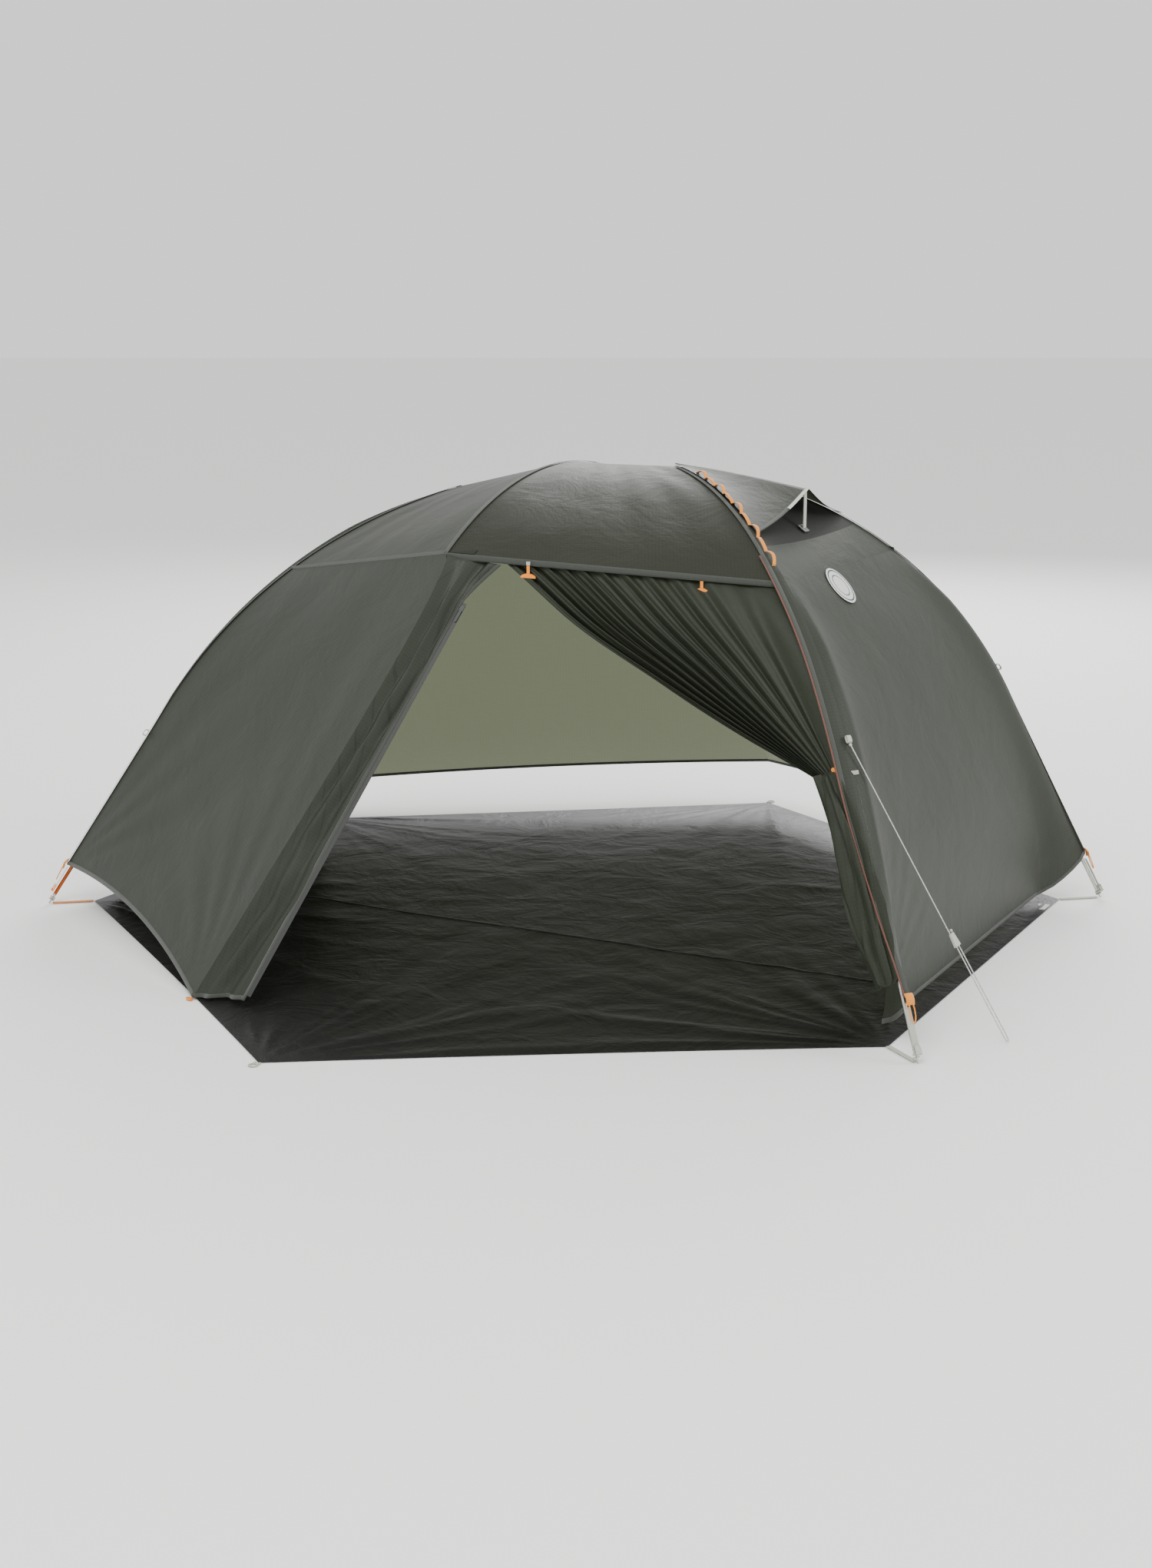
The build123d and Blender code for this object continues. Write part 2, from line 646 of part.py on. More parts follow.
# Stiff patches that spread the brow pole's load, front and rear, outside the roof.
with BuildPart() as brow_patches:
    for side_name in ("front", "rear"):
        tip = brow_rows[side_name][3]
        for end, reach in (("head", 0.085), ("foot", 0.075)):
            along_band = between(tip, fly[f"{end}_{side_name}"][0][-1], reach)
            up_roof = between(tip, fly[f"{end}_{side_name}"][0][2], reach * 1.3)
            plate([tip, along_band, up_roof], thickness=0.6, gap=1.5, start=cloth + 0.3)
finish(brow_patches, "brow_patches")

# Webbing loops for guy lines on the four legs.
guy_head_z = 625
guy_foot_z = 448
loop_reach = 18
loop_out = 0.85                  # the loops are pulled out and down by their lines
guy_points = {}
with BuildPart() as guy_loops:
    for leg_name, leg in legs.items():
        height = guy_head_z if leg_name.startswith("head") else guy_foot_z
        arc_end = on_arc(leg, leg["slopes"][1])[1]
        if height < arc_end:
            here = on_straight(leg, height, fly_lift + 3.5)
        else:
            level = cos(radians(leg["slopes"][0])) - (leg["top"] - height) / leg["radius"]
            slope = degrees(atan2((1 - level ** 2) ** 0.5, level))
            here = on_arc(leg, slope, fly_lift + 3.5)
        loop_way = (leg["plane"].x_dir * loop_out - Vector(0, 0, 1)).normalized()
        at = world(leg, here) + leg["plane"].x_dir * 3
        guy_points[leg_name] = at + loop_way * (loop_reach + 4.5)
        with BuildSketch(Plane(origin=at, x_dir=loop_way, z_dir=leg["plane"].z_dir)) as loop:
            with Locations((loop_reach / 2, 0)):
                SlotOverall(loop_reach, 11)
                SlotOverall(loop_reach - 3, 8, mode=Mode.SUBTRACT)
        extrude(to_extrude=loop.sketch, amount=5, both=True)
finish(guy_loops, "guy_loops")

# ---- corner straps, buckles and levers at the four pole feet ------------------------------------------------------
strap_width = 14
strap_lift = 9
strap_top = {"head": 104, "foot": 92}
buckle_z = {"head": 30, "foot": 44}
with BuildPart() as corner_straps:
    for leg_name, leg in legs.items():
        end = leg_name[:4]
        top = world(leg, on_straight(leg, strap_top[end], strap_lift))
        low = world(leg, on_straight(leg, buckle_z[end], strap_lift))
        with BuildSketch(Plane(origin=low, x_dir=leg["plane"].z_dir, z_dir=top - low)):
            Rectangle(strap_width, 1.4)
        extrude(amount=(top - low).length)
finish(corner_straps, "corner_straps")

buckle_bodies = {"corner_buckles_head": "head", "corner_buckles_foot": "foot"}
levers = {}
for label, end in buckle_bodies.items():
    with BuildPart() as buckles:
        for leg_name, leg in legs.items():
            if not leg_name.startswith(end):
                continue
            low = world(leg, on_straight(leg, buckle_z[end], strap_lift))
            up_way = (world(leg, on_straight(leg, buckle_z[end] + 50, strap_lift)) - low).normalized()
            side_way = leg["plane"].z_dir
            out_way = side_way.cross(up_way)
            if out_way.Z < 0:
                out_way = -out_way
            levers[leg_name] = (low, up_way, side_way, out_way)
            face = Plane(origin=low - up_way * 9 - out_way * 1.5, x_dir=side_way, z_dir=out_way)
            with BuildSketch(face) as frame:
                RectangleRounded(20, 17, 3)
                with Locations((0, 1.5), (0, -4.5)):
                    RectangleRounded(14.6, 2.6, 0.5, mode=Mode.SUBTRACT)
            extrude(to_extrude=frame.sketch, amount=3)
    finish(buckles, label)

for leg_name, (low, up_way, side_way, out_way) in levers.items():
    pivot = low - up_way * 15 + out_way * 4.2
    with BuildPart() as lever:
        with BuildSketch(Plane(origin=pivot, x_dir=side_way, z_dir=up_way)):
            RectangleRounded(14, 2.4, 0.8)
        extrude(amount=18)
        with BuildSketch(Plane(origin=pivot - side_way * 7, z_dir=side_way)):
            Circle(2.2)
        extrude(amount=14)
    finish(lever, f"buckle_lever_{leg_name}")
    print("lever", leg_name, tuple(round(v / 1000, 5) for v in pivot),
          tuple(round(v, 5) for v in side_way))

# Eyelet tabs on the pins: the fly's strap above, the footprint's strap below.
eyelet_radius = 7.5
with BuildPart() as corner_eyelets:
    for leg in legs.values():
        base = world(leg, on_straight(leg, 1.0))
        up_way = (world(leg, on_straight(leg, 101.0)) - base).normalized()
        for lift in (12, 18):
            with BuildSketch(Plane(origin=base + up_way * lift, z_dir=up_way)) as ring:
                Circle(eyelet_radius)
                Circle(pin_radius + 0.3, mode=Mode.SUBTRACT)
            extrude(to_extrude=ring.sketch, amount=1.6)
finish(corner_eyelets, "corner_eyelets")

# ---- footprint and what is sewn to it ---------------------------------------------------------------------------
floor_corners = {
    "foot_front": (-floor_length / 2, -foot_half_width), "foot_rear": (-floor_length / 2, foot_half_width),
    "head_front": (floor_length / 2, -head_half_width), "head_rear": (floor_length / 2, head_half_width),
}
with BuildPart() as footprint:
    with BuildSketch():
        with BuildLine():
            Polyline(floor_corners["foot_front"], (0, -apex_y), floor_corners["head_front"],
                     floor_corners["head_rear"], (0, apex_y), floor_corners["foot_rear"], close=True)
        make_face()
    extrude(amount=footprint_thickness)
finish(footprint, "footprint")

floor_strap_width = 12
for end in ("head", "foot"):
    with BuildPart() as straps:
        for leg_name, corner in floor_corners.items():
            if not leg_name.startswith(end):
                continue
            leg = legs[leg_name]
            base = world(leg, on_straight(leg, 1.0))
            start = Vector(*corner, 0)
            way = (Vector(base.X, base.Y, 0) - start).normalized()
            start = start + way * 1.5
            length = (Vector(base.X, base.Y, 0) - start).length - 9
            with BuildSketch(Plane(origin=start + Vector(0, 0, 2.2), x_dir=(-way.Y, way.X, 0), z_dir=way)):
                Rectangle(floor_strap_width, 1.4)
            extrude(amount=length)
    finish(straps, f"floor_straps_{end}")

stake_ring_inner = 7
stake_ring_outer = 11
stake_out = 18
with BuildPart() as stake_loops:
    for side in (-1, 1):
        with BuildSketch(Plane.XY.offset(0.2)) as ring:
            with Locations((0, side * (apex_y + stake_out))):
                Circle(stake_ring_outer)
            with Locations((-6, side * (apex_y + 6)), (6, side * (apex_y + 6))):
                Rectangle(5, 10)
            with Locations((0, side * (apex_y + stake_out))):
                Circle(stake_ring_inner, mode=Mode.SUBTRACT)
        extrude(to_extrude=ring.sketch, amount=2.2)
finish(stake_loops, "stake_loops")

# Toggle clips that hold the fly to the footprint's edge.
with BuildPart() as hem_clips:
    with BuildSketch(Plane(origin=(corner_v.X - 3, corner_v.Y - 9, 2), z_dir=(0, 0, 1))):
        RectangleRounded(16, 8, 2.5)
    extrude(amount=5)
finish(hem_clips, "hem_clips")

# ---- guy line: knotted to the loop, down to a stake, back up through the tensioner ------------------
cord_radius = 1.3
knot_radius = 3.0
strand_gap = 14
stake_width = 16
tensioner_length = 30
guy_start = guy_points["head_front"]
guy_end = Vector(1336, -524, 4)
guy_way = (guy_end - guy_start).normalized()
side_step = Vector(0, 1, 0)
tension_at = between(guy_start, guy_end, 0.66)
line_points = [
    guy_start + guy_way * knot_radius,
    guy_end,
    guy_end + side_step * stake_width,
    tension_at - guy_way * (tensioner_length / 2 + 2) + side_step * strand_gap,
]
with BuildPart() as guy_line:
    with BuildLine() as guy_path:
        FilletPolyline(*line_points, radius=7.8)
    with BuildSketch(Plane(origin=guy_path.line @ 0, z_dir=guy_path.line % 0)) as round_cord:
        Circle(cord_radius)
    sweep(sections=round_cord.sketch, path=guy_path.wire())
finish(guy_line, "guy_line")
cord_length = guy_path.wire().length
print("guy line length", round(cord_length), "tube volume over section times length",
      round(guy_line.part.volume / (pi * cord_radius ** 2 * cord_length), 4))
print("guy line points", [tuple(round(v / 1000, 4) for v in p) for p in line_points])

with BuildPart() as guy_knots:
    for at, way in ((line_points[0], -guy_way), (line_points[-1], -guy_way)):
        with BuildSketch(Plane(origin=at, z_dir=way)):
            Circle(knot_radius)
        extrude(amount=2 * knot_radius)
    chamfer(guy_knots.edges().filter_by(GeomType.CIRCLE), 1.0)
finish(guy_knots, "guy_knots")

with BuildPart() as guy_tensioner:
    middle = tension_at + side_step * strand_gap / 2
    top_plane = Plane(origin=middle - guy_way * tensioner_length / 2, x_dir=side_step, z_dir=guy_way)
    with BuildSketch(top_plane):
        RectangleRounded(20, 6, 2)
    with BuildSketch(top_plane.offset(tensioner_length)):
        RectangleRounded(27, 8, 2)
    loft()
    with BuildSketch(top_plane.offset(-1)):
        with Locations((-strand_gap / 2, 0), (strand_gap / 2, 0)):
            Circle(cord_radius + 0.5)
    extrude(amount=tensioner_length + 2, mode=Mode.SUBTRACT)
finish(guy_tensioner, "guy_tensioner")
print("tensioner way", [round(v, 5) for v in guy_way])

# Sewn-in care label at the head end of the footprint.
with BuildPart() as care_label:
    with BuildSketch(Plane(origin=(floor_length / 2 - 20, head_half_width - 95, footprint_thickness + 0.3))):
        RectangleRounded(30, 55, 2)
    extrude(amount=0.6)
finish(care_label, "care_label")
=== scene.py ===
# %% [markdown]
# # A hub-pole tent with its rainfly
#
# The tent is two ripstop sheets, a fly and a footprint, held apart by bent aluminium
# poles. Cloth is modelled as thin sheets laid between the seam lines, because that is
# how it is cut and sewn. The hard parts come from the CAD model and only get finishes.

# %% Load the frame
import bpy, bmesh
from math import atan2, cos, exp, hypot, pi, radians, sin, tan
from mathutils import Matrix, Vector, noise


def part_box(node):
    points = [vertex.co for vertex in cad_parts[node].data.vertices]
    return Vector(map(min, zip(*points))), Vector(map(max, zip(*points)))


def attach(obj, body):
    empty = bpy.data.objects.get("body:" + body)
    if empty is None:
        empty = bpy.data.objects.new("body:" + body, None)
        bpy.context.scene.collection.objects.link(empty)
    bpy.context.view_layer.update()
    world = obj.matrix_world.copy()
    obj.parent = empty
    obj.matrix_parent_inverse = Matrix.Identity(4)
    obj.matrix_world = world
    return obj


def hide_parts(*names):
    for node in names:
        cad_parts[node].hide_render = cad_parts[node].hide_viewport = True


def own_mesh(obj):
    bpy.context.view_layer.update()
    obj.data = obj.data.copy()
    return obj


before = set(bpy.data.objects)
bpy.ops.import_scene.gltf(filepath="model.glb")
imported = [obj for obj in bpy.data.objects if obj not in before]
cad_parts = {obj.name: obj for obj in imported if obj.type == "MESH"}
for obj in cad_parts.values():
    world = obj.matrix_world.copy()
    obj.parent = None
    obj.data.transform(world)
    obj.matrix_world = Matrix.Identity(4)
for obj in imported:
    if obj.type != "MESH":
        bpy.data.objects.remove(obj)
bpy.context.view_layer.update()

# %% [markdown]
# The camera stands at the front right, at a standing person's eye height, and looks a
# little down. A lens of about 50 mm keeps the near pole foot only slightly larger.

# %% Camera
YAW, PITCH = -0.4827, 0.2049
looking = Vector((sin(YAW) * cos(PITCH), cos(YAW) * cos(PITCH), -sin(PITCH)))
camera_data = bpy.data.cameras.new("camera")
camera_data.lens = 50.63
camera_data.sensor_width = 36
camera_data.shift_y = -0.0164
camera_data.clip_end = 60
camera = bpy.data.objects.new("camera", camera_data)
camera.location = (2.5964, -4.8983, 1.5457)
camera.rotation_mode = "QUATERNION"
camera.rotation_quaternion = looking.to_track_quat("-Z", "Y")
bpy.context.scene.collection.objects.link(camera)
bpy.context.scene.camera = camera

# %% [markdown]
# Finishes are node trees. One function turns a written colour into the linear numbers
# that a shader takes, and one adds a node with its settings and links.

# %% Colour and node helpers
def colour(hex_code):
    """sRGB hex to linear RGBA."""
    channels = [int(hex_code[i:i + 2], 16) / 255 for i in (1, 3, 5)]
    linear = [c / 12.92 if c <= 0.04045 else ((c + 0.055) / 1.055) ** 2.4 for c in channels]
    return (*linear, 1.0)


def add_node(tree, kind, inputs=None, **settings):
    """A node with its settings. An input is a value, or an output socket to link."""
    new = tree.nodes.new("ShaderNode" + kind)
    for key, value in settings.items():
        setattr(new, key, value)
    for key, value in (inputs or {}).items():
        if isinstance(value, bpy.types.NodeSocket):
            tree.links.new(value, new.inputs[key])
        else:
            new.inputs[key].default_value = value
    return new


def new_finish(name):
    """An empty material and its tree, with the output ready."""
    material = bpy.data.materials.new(name)
    material.use_nodes = True
    material.node_tree.nodes.clear()
    output = material.node_tree.nodes.new("ShaderNodeOutputMaterial")
    return material, material.node_tree, output


# %% [markdown]
# The fly is 15 to 20 denier nylon with a ripstop grid, calendered and coated on the
# back. That gives a soft satin sheen, faint grid lines and a cloth that glows when the
# light is behind it. The grid is woven every 5 mm and drawn every 8 mm, because a finer
# one doesn't show at this distance. It follows the UV map, which is in metres of cloth.

# %% Ripstop nylon
def ripstop(name, face, line, glow, passing, roughness=0.5, crumple=0.35, grid=0.008):
    """Satin ripstop. face and line are its colours, glow is what shines through, and
    passing is the share of light that does."""
    material, tree, output = new_finish(name)
    place = add_node(tree, "TexCoord")
    threads = add_node(tree, "TexBrick", {
        "Vector": place.outputs["UV"], "Scale": 1 / grid, "Mortar Size": 0.07,
        "Mortar Smooth": 0.4, "Brick Width": 1.0, "Row Height": 1.0,
        "Color1": colour(face), "Color2": colour(face), "Mortar": colour(line)},
        offset=0.0, squash=1.0)
    cloud = add_node(tree, "TexNoise", {"Vector": place.outputs["Object"], "Scale": 2.3, "Detail": 3.0})
    tint = add_node(tree, "ValToRGB", {"Fac": cloud.outputs["Fac"]})
    tint.color_ramp.elements[0].position, tint.color_ramp.elements[1].position = 0.3, 0.75
    tint.color_ramp.elements[0].color = (0.86, 0.86, 0.86, 1)
    tint.color_ramp.elements[1].color = (1.0, 1.0, 1.0, 1)
    dyed = add_node(tree, "Mix", {0: 1.0, 6: threads.outputs["Color"], 7: tint.outputs["Color"]},
                    data_type="RGBA", blend_type="MULTIPLY")
    creases = add_node(tree, "TexNoise", {"Vector": place.outputs["UV"], "Scale": 7.0, "Detail": 5.0,
                                          "Roughness": 0.62, "Distortion": 0.5})
    crumpled = add_node(tree, "Bump", {"Height": creases.outputs["Fac"], "Strength": crumple,
                                       "Distance": 0.012})
    woven = add_node(tree, "Bump", {"Height": threads.outputs["Fac"], "Strength": 0.25,
                                    "Distance": 0.0004, "Normal": crumpled.outputs["Normal"]})
    surface = add_node(tree, "BsdfPrincipled", {
        "Base Color": dyed.outputs[2], "Roughness": roughness, "IOR": 1.53, "Specular IOR Level": 0.25,
        "Sheen Weight": 0.04, "Sheen Roughness": 0.45, "Normal": woven.outputs["Normal"]})
    through = add_node(tree, "BsdfTranslucent", {"Color": colour(glow), "Normal": woven.outputs["Normal"]})
    both = add_node(tree, "MixShader", {0: passing, 1: surface.outputs["BSDF"],
                                        2: through.outputs["BSDF"]})
    tree.links.new(both.outputs["Shader"], output.inputs["Surface"])
    return material


# A darker copy of the fly cloth, for the head end's roof, the vent hood and the brow patches. Its extra
# darkness is painted shade, not another dye.
fly_painted_shade = ripstop("ripstop_nylon_painted_shade", "#292c20", "#21241a", "#474d33", 0.14)
fly_grey_olive = ripstop("ripstop_nylon_grey_olive", "#33372e", "#2b2f27", "#4d543f", 0.14)
# The same fly cloth with a lighter face, for the inside of the rear vestibule: painted glow of the light
# behind it, on top of the shader's real translucency.
fly_backlit_painted_glow = ripstop("ripstop_nylon_painted_backlight_glow", "#4f5345", "#43473a", "#7b826b", 0.45)
door_olive = ripstop("ripstop_nylon_door", "#2c3124", "#262a1f", "#4c5636", 0.2, crumple=0.2)
floor_black = ripstop("ripstop_nylon_footprint", "#121110", "#0f0e0d", "#1c1b19", 0.0,
                      roughness=0.42, crumple=0.8)
print("ripstop finishes", [m.name for m in (fly_painted_shade, fly_grey_olive, fly_backlit_painted_glow, door_olive, floor_black)])

# %% [markdown]
# Tapes and webbing are woven flat. Grosgrain binding has fine cross ribs, and strap
# webbing a coarser herringbone. Both are matt, and both follow the strip's own UV map,
# whose long way is the tape's length in metres.

# %% Woven tapes
def woven_tape(name, face, shade, rib, roughness=0.8):
    """Cross-ribbed tape: rib is the spacing in metres."""
    material, tree, output = new_finish(name)
    place = add_node(tree, "TexCoord")
    ribs = add_node(tree, "TexWave", {"Vector": place.outputs["UV"], "Scale": 0.314 / rib,
                                      "Distortion": 0.4, "Detail": 1.0}, bands_direction="Y")
    fuzz = add_node(tree, "TexNoise", {"Vector": place.outputs["UV"], "Scale": 900.0, "Detail": 2.0})
    tone = add_node(tree, "ValToRGB", {"Fac": ribs.outputs["Fac"]})
    tone.color_ramp.elements[0].color, tone.color_ramp.elements[1].color = colour(shade), colour(face)
    fibre = add_node(tree, "Bump", {"Height": fuzz.outputs["Fac"], "Strength": 0.3, "Distance": 0.0003})
    raised = add_node(tree, "Bump", {"Height": ribs.outputs["Fac"], "Strength": 0.7, "Distance": 0.0004,
                                     "Normal": fibre.outputs["Normal"]})
    cloth = add_node(tree, "BsdfPrincipled", {"Base Color": tone.outputs["Color"], "Roughness": roughness,
                                              "IOR": 1.53, "Sheen Weight": 0.2,
                                              "Normal": raised.outputs["Normal"]})
    tree.links.new(cloth.outputs["BSDF"], output.inputs["Surface"])
    return material


binding_tape = woven_tape("grosgrain_binding", "#3a3e36", "#2c302a", 0.002)
piping_tape = woven_tape("woven_piping_rust", "#6f4232", "#4e3026", 0.003)
white_webbing = woven_tape("webbing_pale_grey", "#cfd0c6", "#a9aa9e", 0.003)
orange_webbing = woven_tape("webbing_orange", "#f29a2c", "#c9761a", 0.003)
hook_tape = woven_tape("hook_tape_grey", "#8e918a", "#6d7069", 0.002)

# %% [markdown]
# The hard parts: drawn and anodised aluminium tube, moulded nylon and acetal, a braided
# polyester cord, and a printed patch. Fine noise, stretched for the drawn tube, stands
# for draw marks and for the slight orange peel of a moulding.

# %% Metal and plastic
def hard_finish(name, face, metallic, roughness, grain, depth, stretch=(1, 1, 1), worn=None):
    """Metal or plastic with a fine grain in the surface, grain in marks per metre."""
    material, tree, output = new_finish(name)
    place = add_node(tree, "TexCoord")
    turned = add_node(tree, "Mapping", {"Vector": place.outputs["Object"], "Scale": stretch})
    marks = add_node(tree, "TexNoise", {"Vector": turned.outputs["Vector"], "Scale": grain, "Detail": 3.0})
    tone = add_node(tree, "ValToRGB", {"Fac": marks.outputs["Fac"]})
    tone.color_ramp.elements[0].position, tone.color_ramp.elements[1].position = 0.3, 0.7
    tone.color_ramp.elements[0].color, tone.color_ramp.elements[1].color = colour(worn or face), colour(face)
    gloss = add_node(tree, "MapRange", {"Value": marks.outputs["Fac"], "To Min": roughness - 0.06,
                                        "To Max": roughness + 0.06})
    relief = add_node(tree, "Bump", {"Height": marks.outputs["Fac"], "Strength": 0.3, "Distance": depth})
    body = add_node(tree, "BsdfPrincipled", {
        "Base Color": tone.outputs["Color"], "Metallic": metallic, "Roughness": gloss.outputs["Result"],
        "IOR": 1.5, "Normal": relief.outputs["Normal"]})
    tree.links.new(body.outputs["BSDF"], output.inputs["Surface"])
    return material


pole_silver = hard_finish("anodised_aluminium_silver", "#c4c5bd", 1.0, 0.34, 220, 0.00005,
                          (1, 1, 0.2), "#aeb0a8")
pole_bronze = hard_finish("anodised_aluminium_bronze", "#b8602f", 1.0, 0.34, 220, 0.00005,
                          (1, 1, 0.2), "#a04e24")
raw_aluminium = hard_finish("machined_aluminium", "#b9bab2", 1.0, 0.28, 700, 0.00005)
elastic = hard_finish("elastic_cord", "#2c2d2c", 0.0, 0.75, 900, 0.0002)
moulded_nylon = hard_finish("moulded_nylon_black", "#2a2c2b", 0.0, 0.5, 400, 0.0001, worn="#232524")
orange_acetal = hard_finish("moulded_acetal_orange", "#f28f1f", 0.0, 0.36, 300, 0.0001, worn="#e3801a")
grey_acetal = hard_finish("moulded_acetal_grey", "#b4b6ac", 0.0, 0.4, 300, 0.0001, worn="#a3a59b")
zip_coil_finish = hard_finish("zip_coil_black", "#1d1f1c", 0.0, 0.55, 900, 0.0003, worn="#2a2c28")
zip_metal = hard_finish("zip_metal_painted", "#2b2d2c", 0.6, 0.38, 500, 0.0001)
label_print = hard_finish("printed_satin_label", "#d5d6d1", 0.0, 0.6, 500, 0.0001, worn="#c3c4bf")
vent_net = hard_finish("insect_net_black", "#141613", 0.0, 0.8, 700, 0.0006, worn="#24271f")
cord_finish = hard_finish("braided_polyester_cord", "#d3d4cd", 0.0, 0.7, 420, 0.0006, (1, 1, 1), "#8f918b")
print("hard finishes made")

# %% [markdown]
# The poles give every seam its line. A leg runs from its hub as an arc and then
# straight to the ground, in one upright plane. The fly lies 14 mm above the pole's axis.
# A function gives the point at any distance from the hub, so sheets and tapes can ask
# for the line that they share.

# %% Pole lines
FLY_LIFT = 0.014


def smooth_through(values, share):
    """A smooth value through a few evenly spaced ones."""
    place = min(max(share, 0.0), 1.0) * (len(values) - 1)
    low = min(int(place), len(values) - 2)
    before, after = values[max(low - 1, 0)], values[min(low + 2, len(values) - 1)]
    here, there, part = values[low], values[low + 1], place - low
    pull_in, pull_out = (there - before) / 2, (after - here) / 2
    return ((2 * part ** 3 - 3 * part ** 2 + 1) * here + (part ** 3 - 2 * part ** 2 + part) * pull_in
            + (3 * part ** 2 - 2 * part ** 3) * there + (part ** 3 - part ** 2) * pull_out)


def leg_line(hub, foot, slopes, band_slope, corner_z, drift=(0, 0)):
    """A leg's seam: at(distance, lift), out(distance), and where the band and corner are.
    drift is how far the open door lets the seam slip sideways off its pole, down the leg."""
    hub, foot = Vector(hub), Vector(foot)
    span = (foot.xy - hub.xy).length
    way = (foot.xy - hub.xy).normalized().to_3d()
    first, last = radians(slopes[0]), radians(slopes[1])
    radius = (span - hub.z / tan(last)) / (sin(last) - sin(first) - (cos(first) - cos(last)) / tan(last))
    bend = radius * (last - first)

    def slope_at(distance):
        return first + min(distance, bend) / radius

    def out(distance):
        return way * sin(slope_at(distance)) + Vector((0, 0, cos(slope_at(distance))))

    def at(distance, lift=FLY_LIFT, slipped=True):
        here, run = slope_at(distance), max(distance - bend, 0)
        along = radius * (sin(here) - sin(first)) + run * cos(last)
        height = hub.z - radius * (cos(first) - cos(here)) - run * sin(last)
        slip = smooth_through(drift, distance / corner) if slipped else 0.0
        return Vector((hub.x, hub.y, height)) + way * along + out(distance) * lift + aside * slip

    aside = Vector((way.y, -way.x, 0))
    bend_height = hub.z - radius * (cos(first) - cos(last))
    corner = bend + (bend_height - corner_z) / sin(last)
    band_distance = radius * (radians(band_slope) - first)
    return {"at": at, "out": out, "way": way, "band": band_distance, "corner": corner}


HUB_HEAD, HUB_FOOT = Vector((0.3, 0, 1.135)), Vector((-0.3, 0, 1.065))
SEAM_DRIFT = (0.0, 0.004, 0.013, 0.024, 0.030, 0.036, 0.034, 0.018, -0.004)
legs = {}
for side, sign in (("front", -1), ("rear", 1)):
    legs["head_" + side] = leg_line(HUB_HEAD, (1.211, sign * 0.732, 0), (5, 62), 36.7, 0.118,
                                    drift=SEAM_DRIFT if side == "front" else (0, 0))
    legs["foot_" + side] = leg_line(HUB_FOOT, (-1.211, sign * 0.604, 0), (15, 57), 36.0, 0.098)
BROW_HALF, BROW_TOP, BROW_END = 0.577, 1.135, 0.968
brow_radius = (BROW_HALF ** 2 + (BROW_TOP - BROW_END) ** 2) / (2 * (BROW_TOP - BROW_END))
brow_half_turn = atan2(BROW_HALF, brow_radius - (BROW_TOP - BROW_END))


def brow(share, lift=FLY_LIFT):
    """Point over the brow pole: 0 in the middle, -1 at the front end, 1 at the rear."""
    turn, reach = share * brow_half_turn, brow_radius + lift
    return Vector((0, reach * sin(turn), BROW_TOP - brow_radius + reach * cos(turn)))


brow_front, brow_rear = brow(-1), brow(1)
band_head = legs["head_front"]["at"](legs["head_front"]["band"])
band_foot = legs["foot_front"]["at"](legs["foot_front"]["band"])
hem_corner = Vector((-0.380, -1.082, 0.006))
zip_bottom = Vector((-0.228, -1.096, 0.026))
zip_bend = Vector((0.058, -0.605, 0.876))
band_drop = Vector((0, 0, -0.013))
zip_top = brow_front.lerp(band_head, 0.17) + band_drop * 1.3
rear_apex = Vector((0, 1.348, 0.138))
print("band ends", brow_front[:], band_head[:], band_foot[:])

# %% [markdown]
# Every sheet starts as a flat grid from `bmesh.ops.create_grid` and is laid on a
# surface given by a function of two shares, u across and v down. Its UV map is the
# cloth's own size in metres, so that the ripstop runs with the threads. The same
# helper lays tapes, which are sheets a few millimetres wide.

# %% Laying cloth
def make_piece(name, work, finish, body="tent", replaces=()):
    """Turn a finished bmesh into an object that rides on a body."""
    mesh = bpy.data.meshes.new(name)
    work.to_mesh(mesh)
    work.free()
    mesh.materials.append(finish)
    piece = bpy.data.objects.new(name, mesh)
    bpy.context.scene.collection.objects.link(piece)
    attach(piece, body)
    if replaces:
        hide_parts(*replaces)
    return piece


def lay_grid(across, down, surface, threads, inside=Vector((0, 0, 0.3)), work=None):
    """A grid laid on surface(u, v), with threads(u, v, point) as its UV map in metres."""
    work = work or bmesh.new()
    uv_map = work.loops.layers.uv.verify()
    made = bmesh.ops.create_grid(work, x_segments=across, y_segments=down, size=0.5)["verts"]
    faces = list({face for vert in made for face in vert.link_faces})
    shares = {vert: (vert.co.x + 0.5, 0.5 - vert.co.y) for vert in made}
    for vert in made:
        vert.co = surface(*shares[vert])
    for face in faces:
        face.smooth = True
        for loop in face.loops:
            loop[uv_map].uv = threads(*shares[loop.vert], loop.vert.co)
    bmesh.ops.remove_doubles(work, verts=made, dist=0.00002)
    faces = [face for face in faces if face.is_valid]
    bmesh.ops.recalc_face_normals(work, faces=faces)
    facing = sum((face.normal.dot(face.calc_center_median() - inside) * face.calc_area() for face in faces))
    if facing < 0:
        bmesh.ops.reverse_faces(work, faces=faces)
    return work


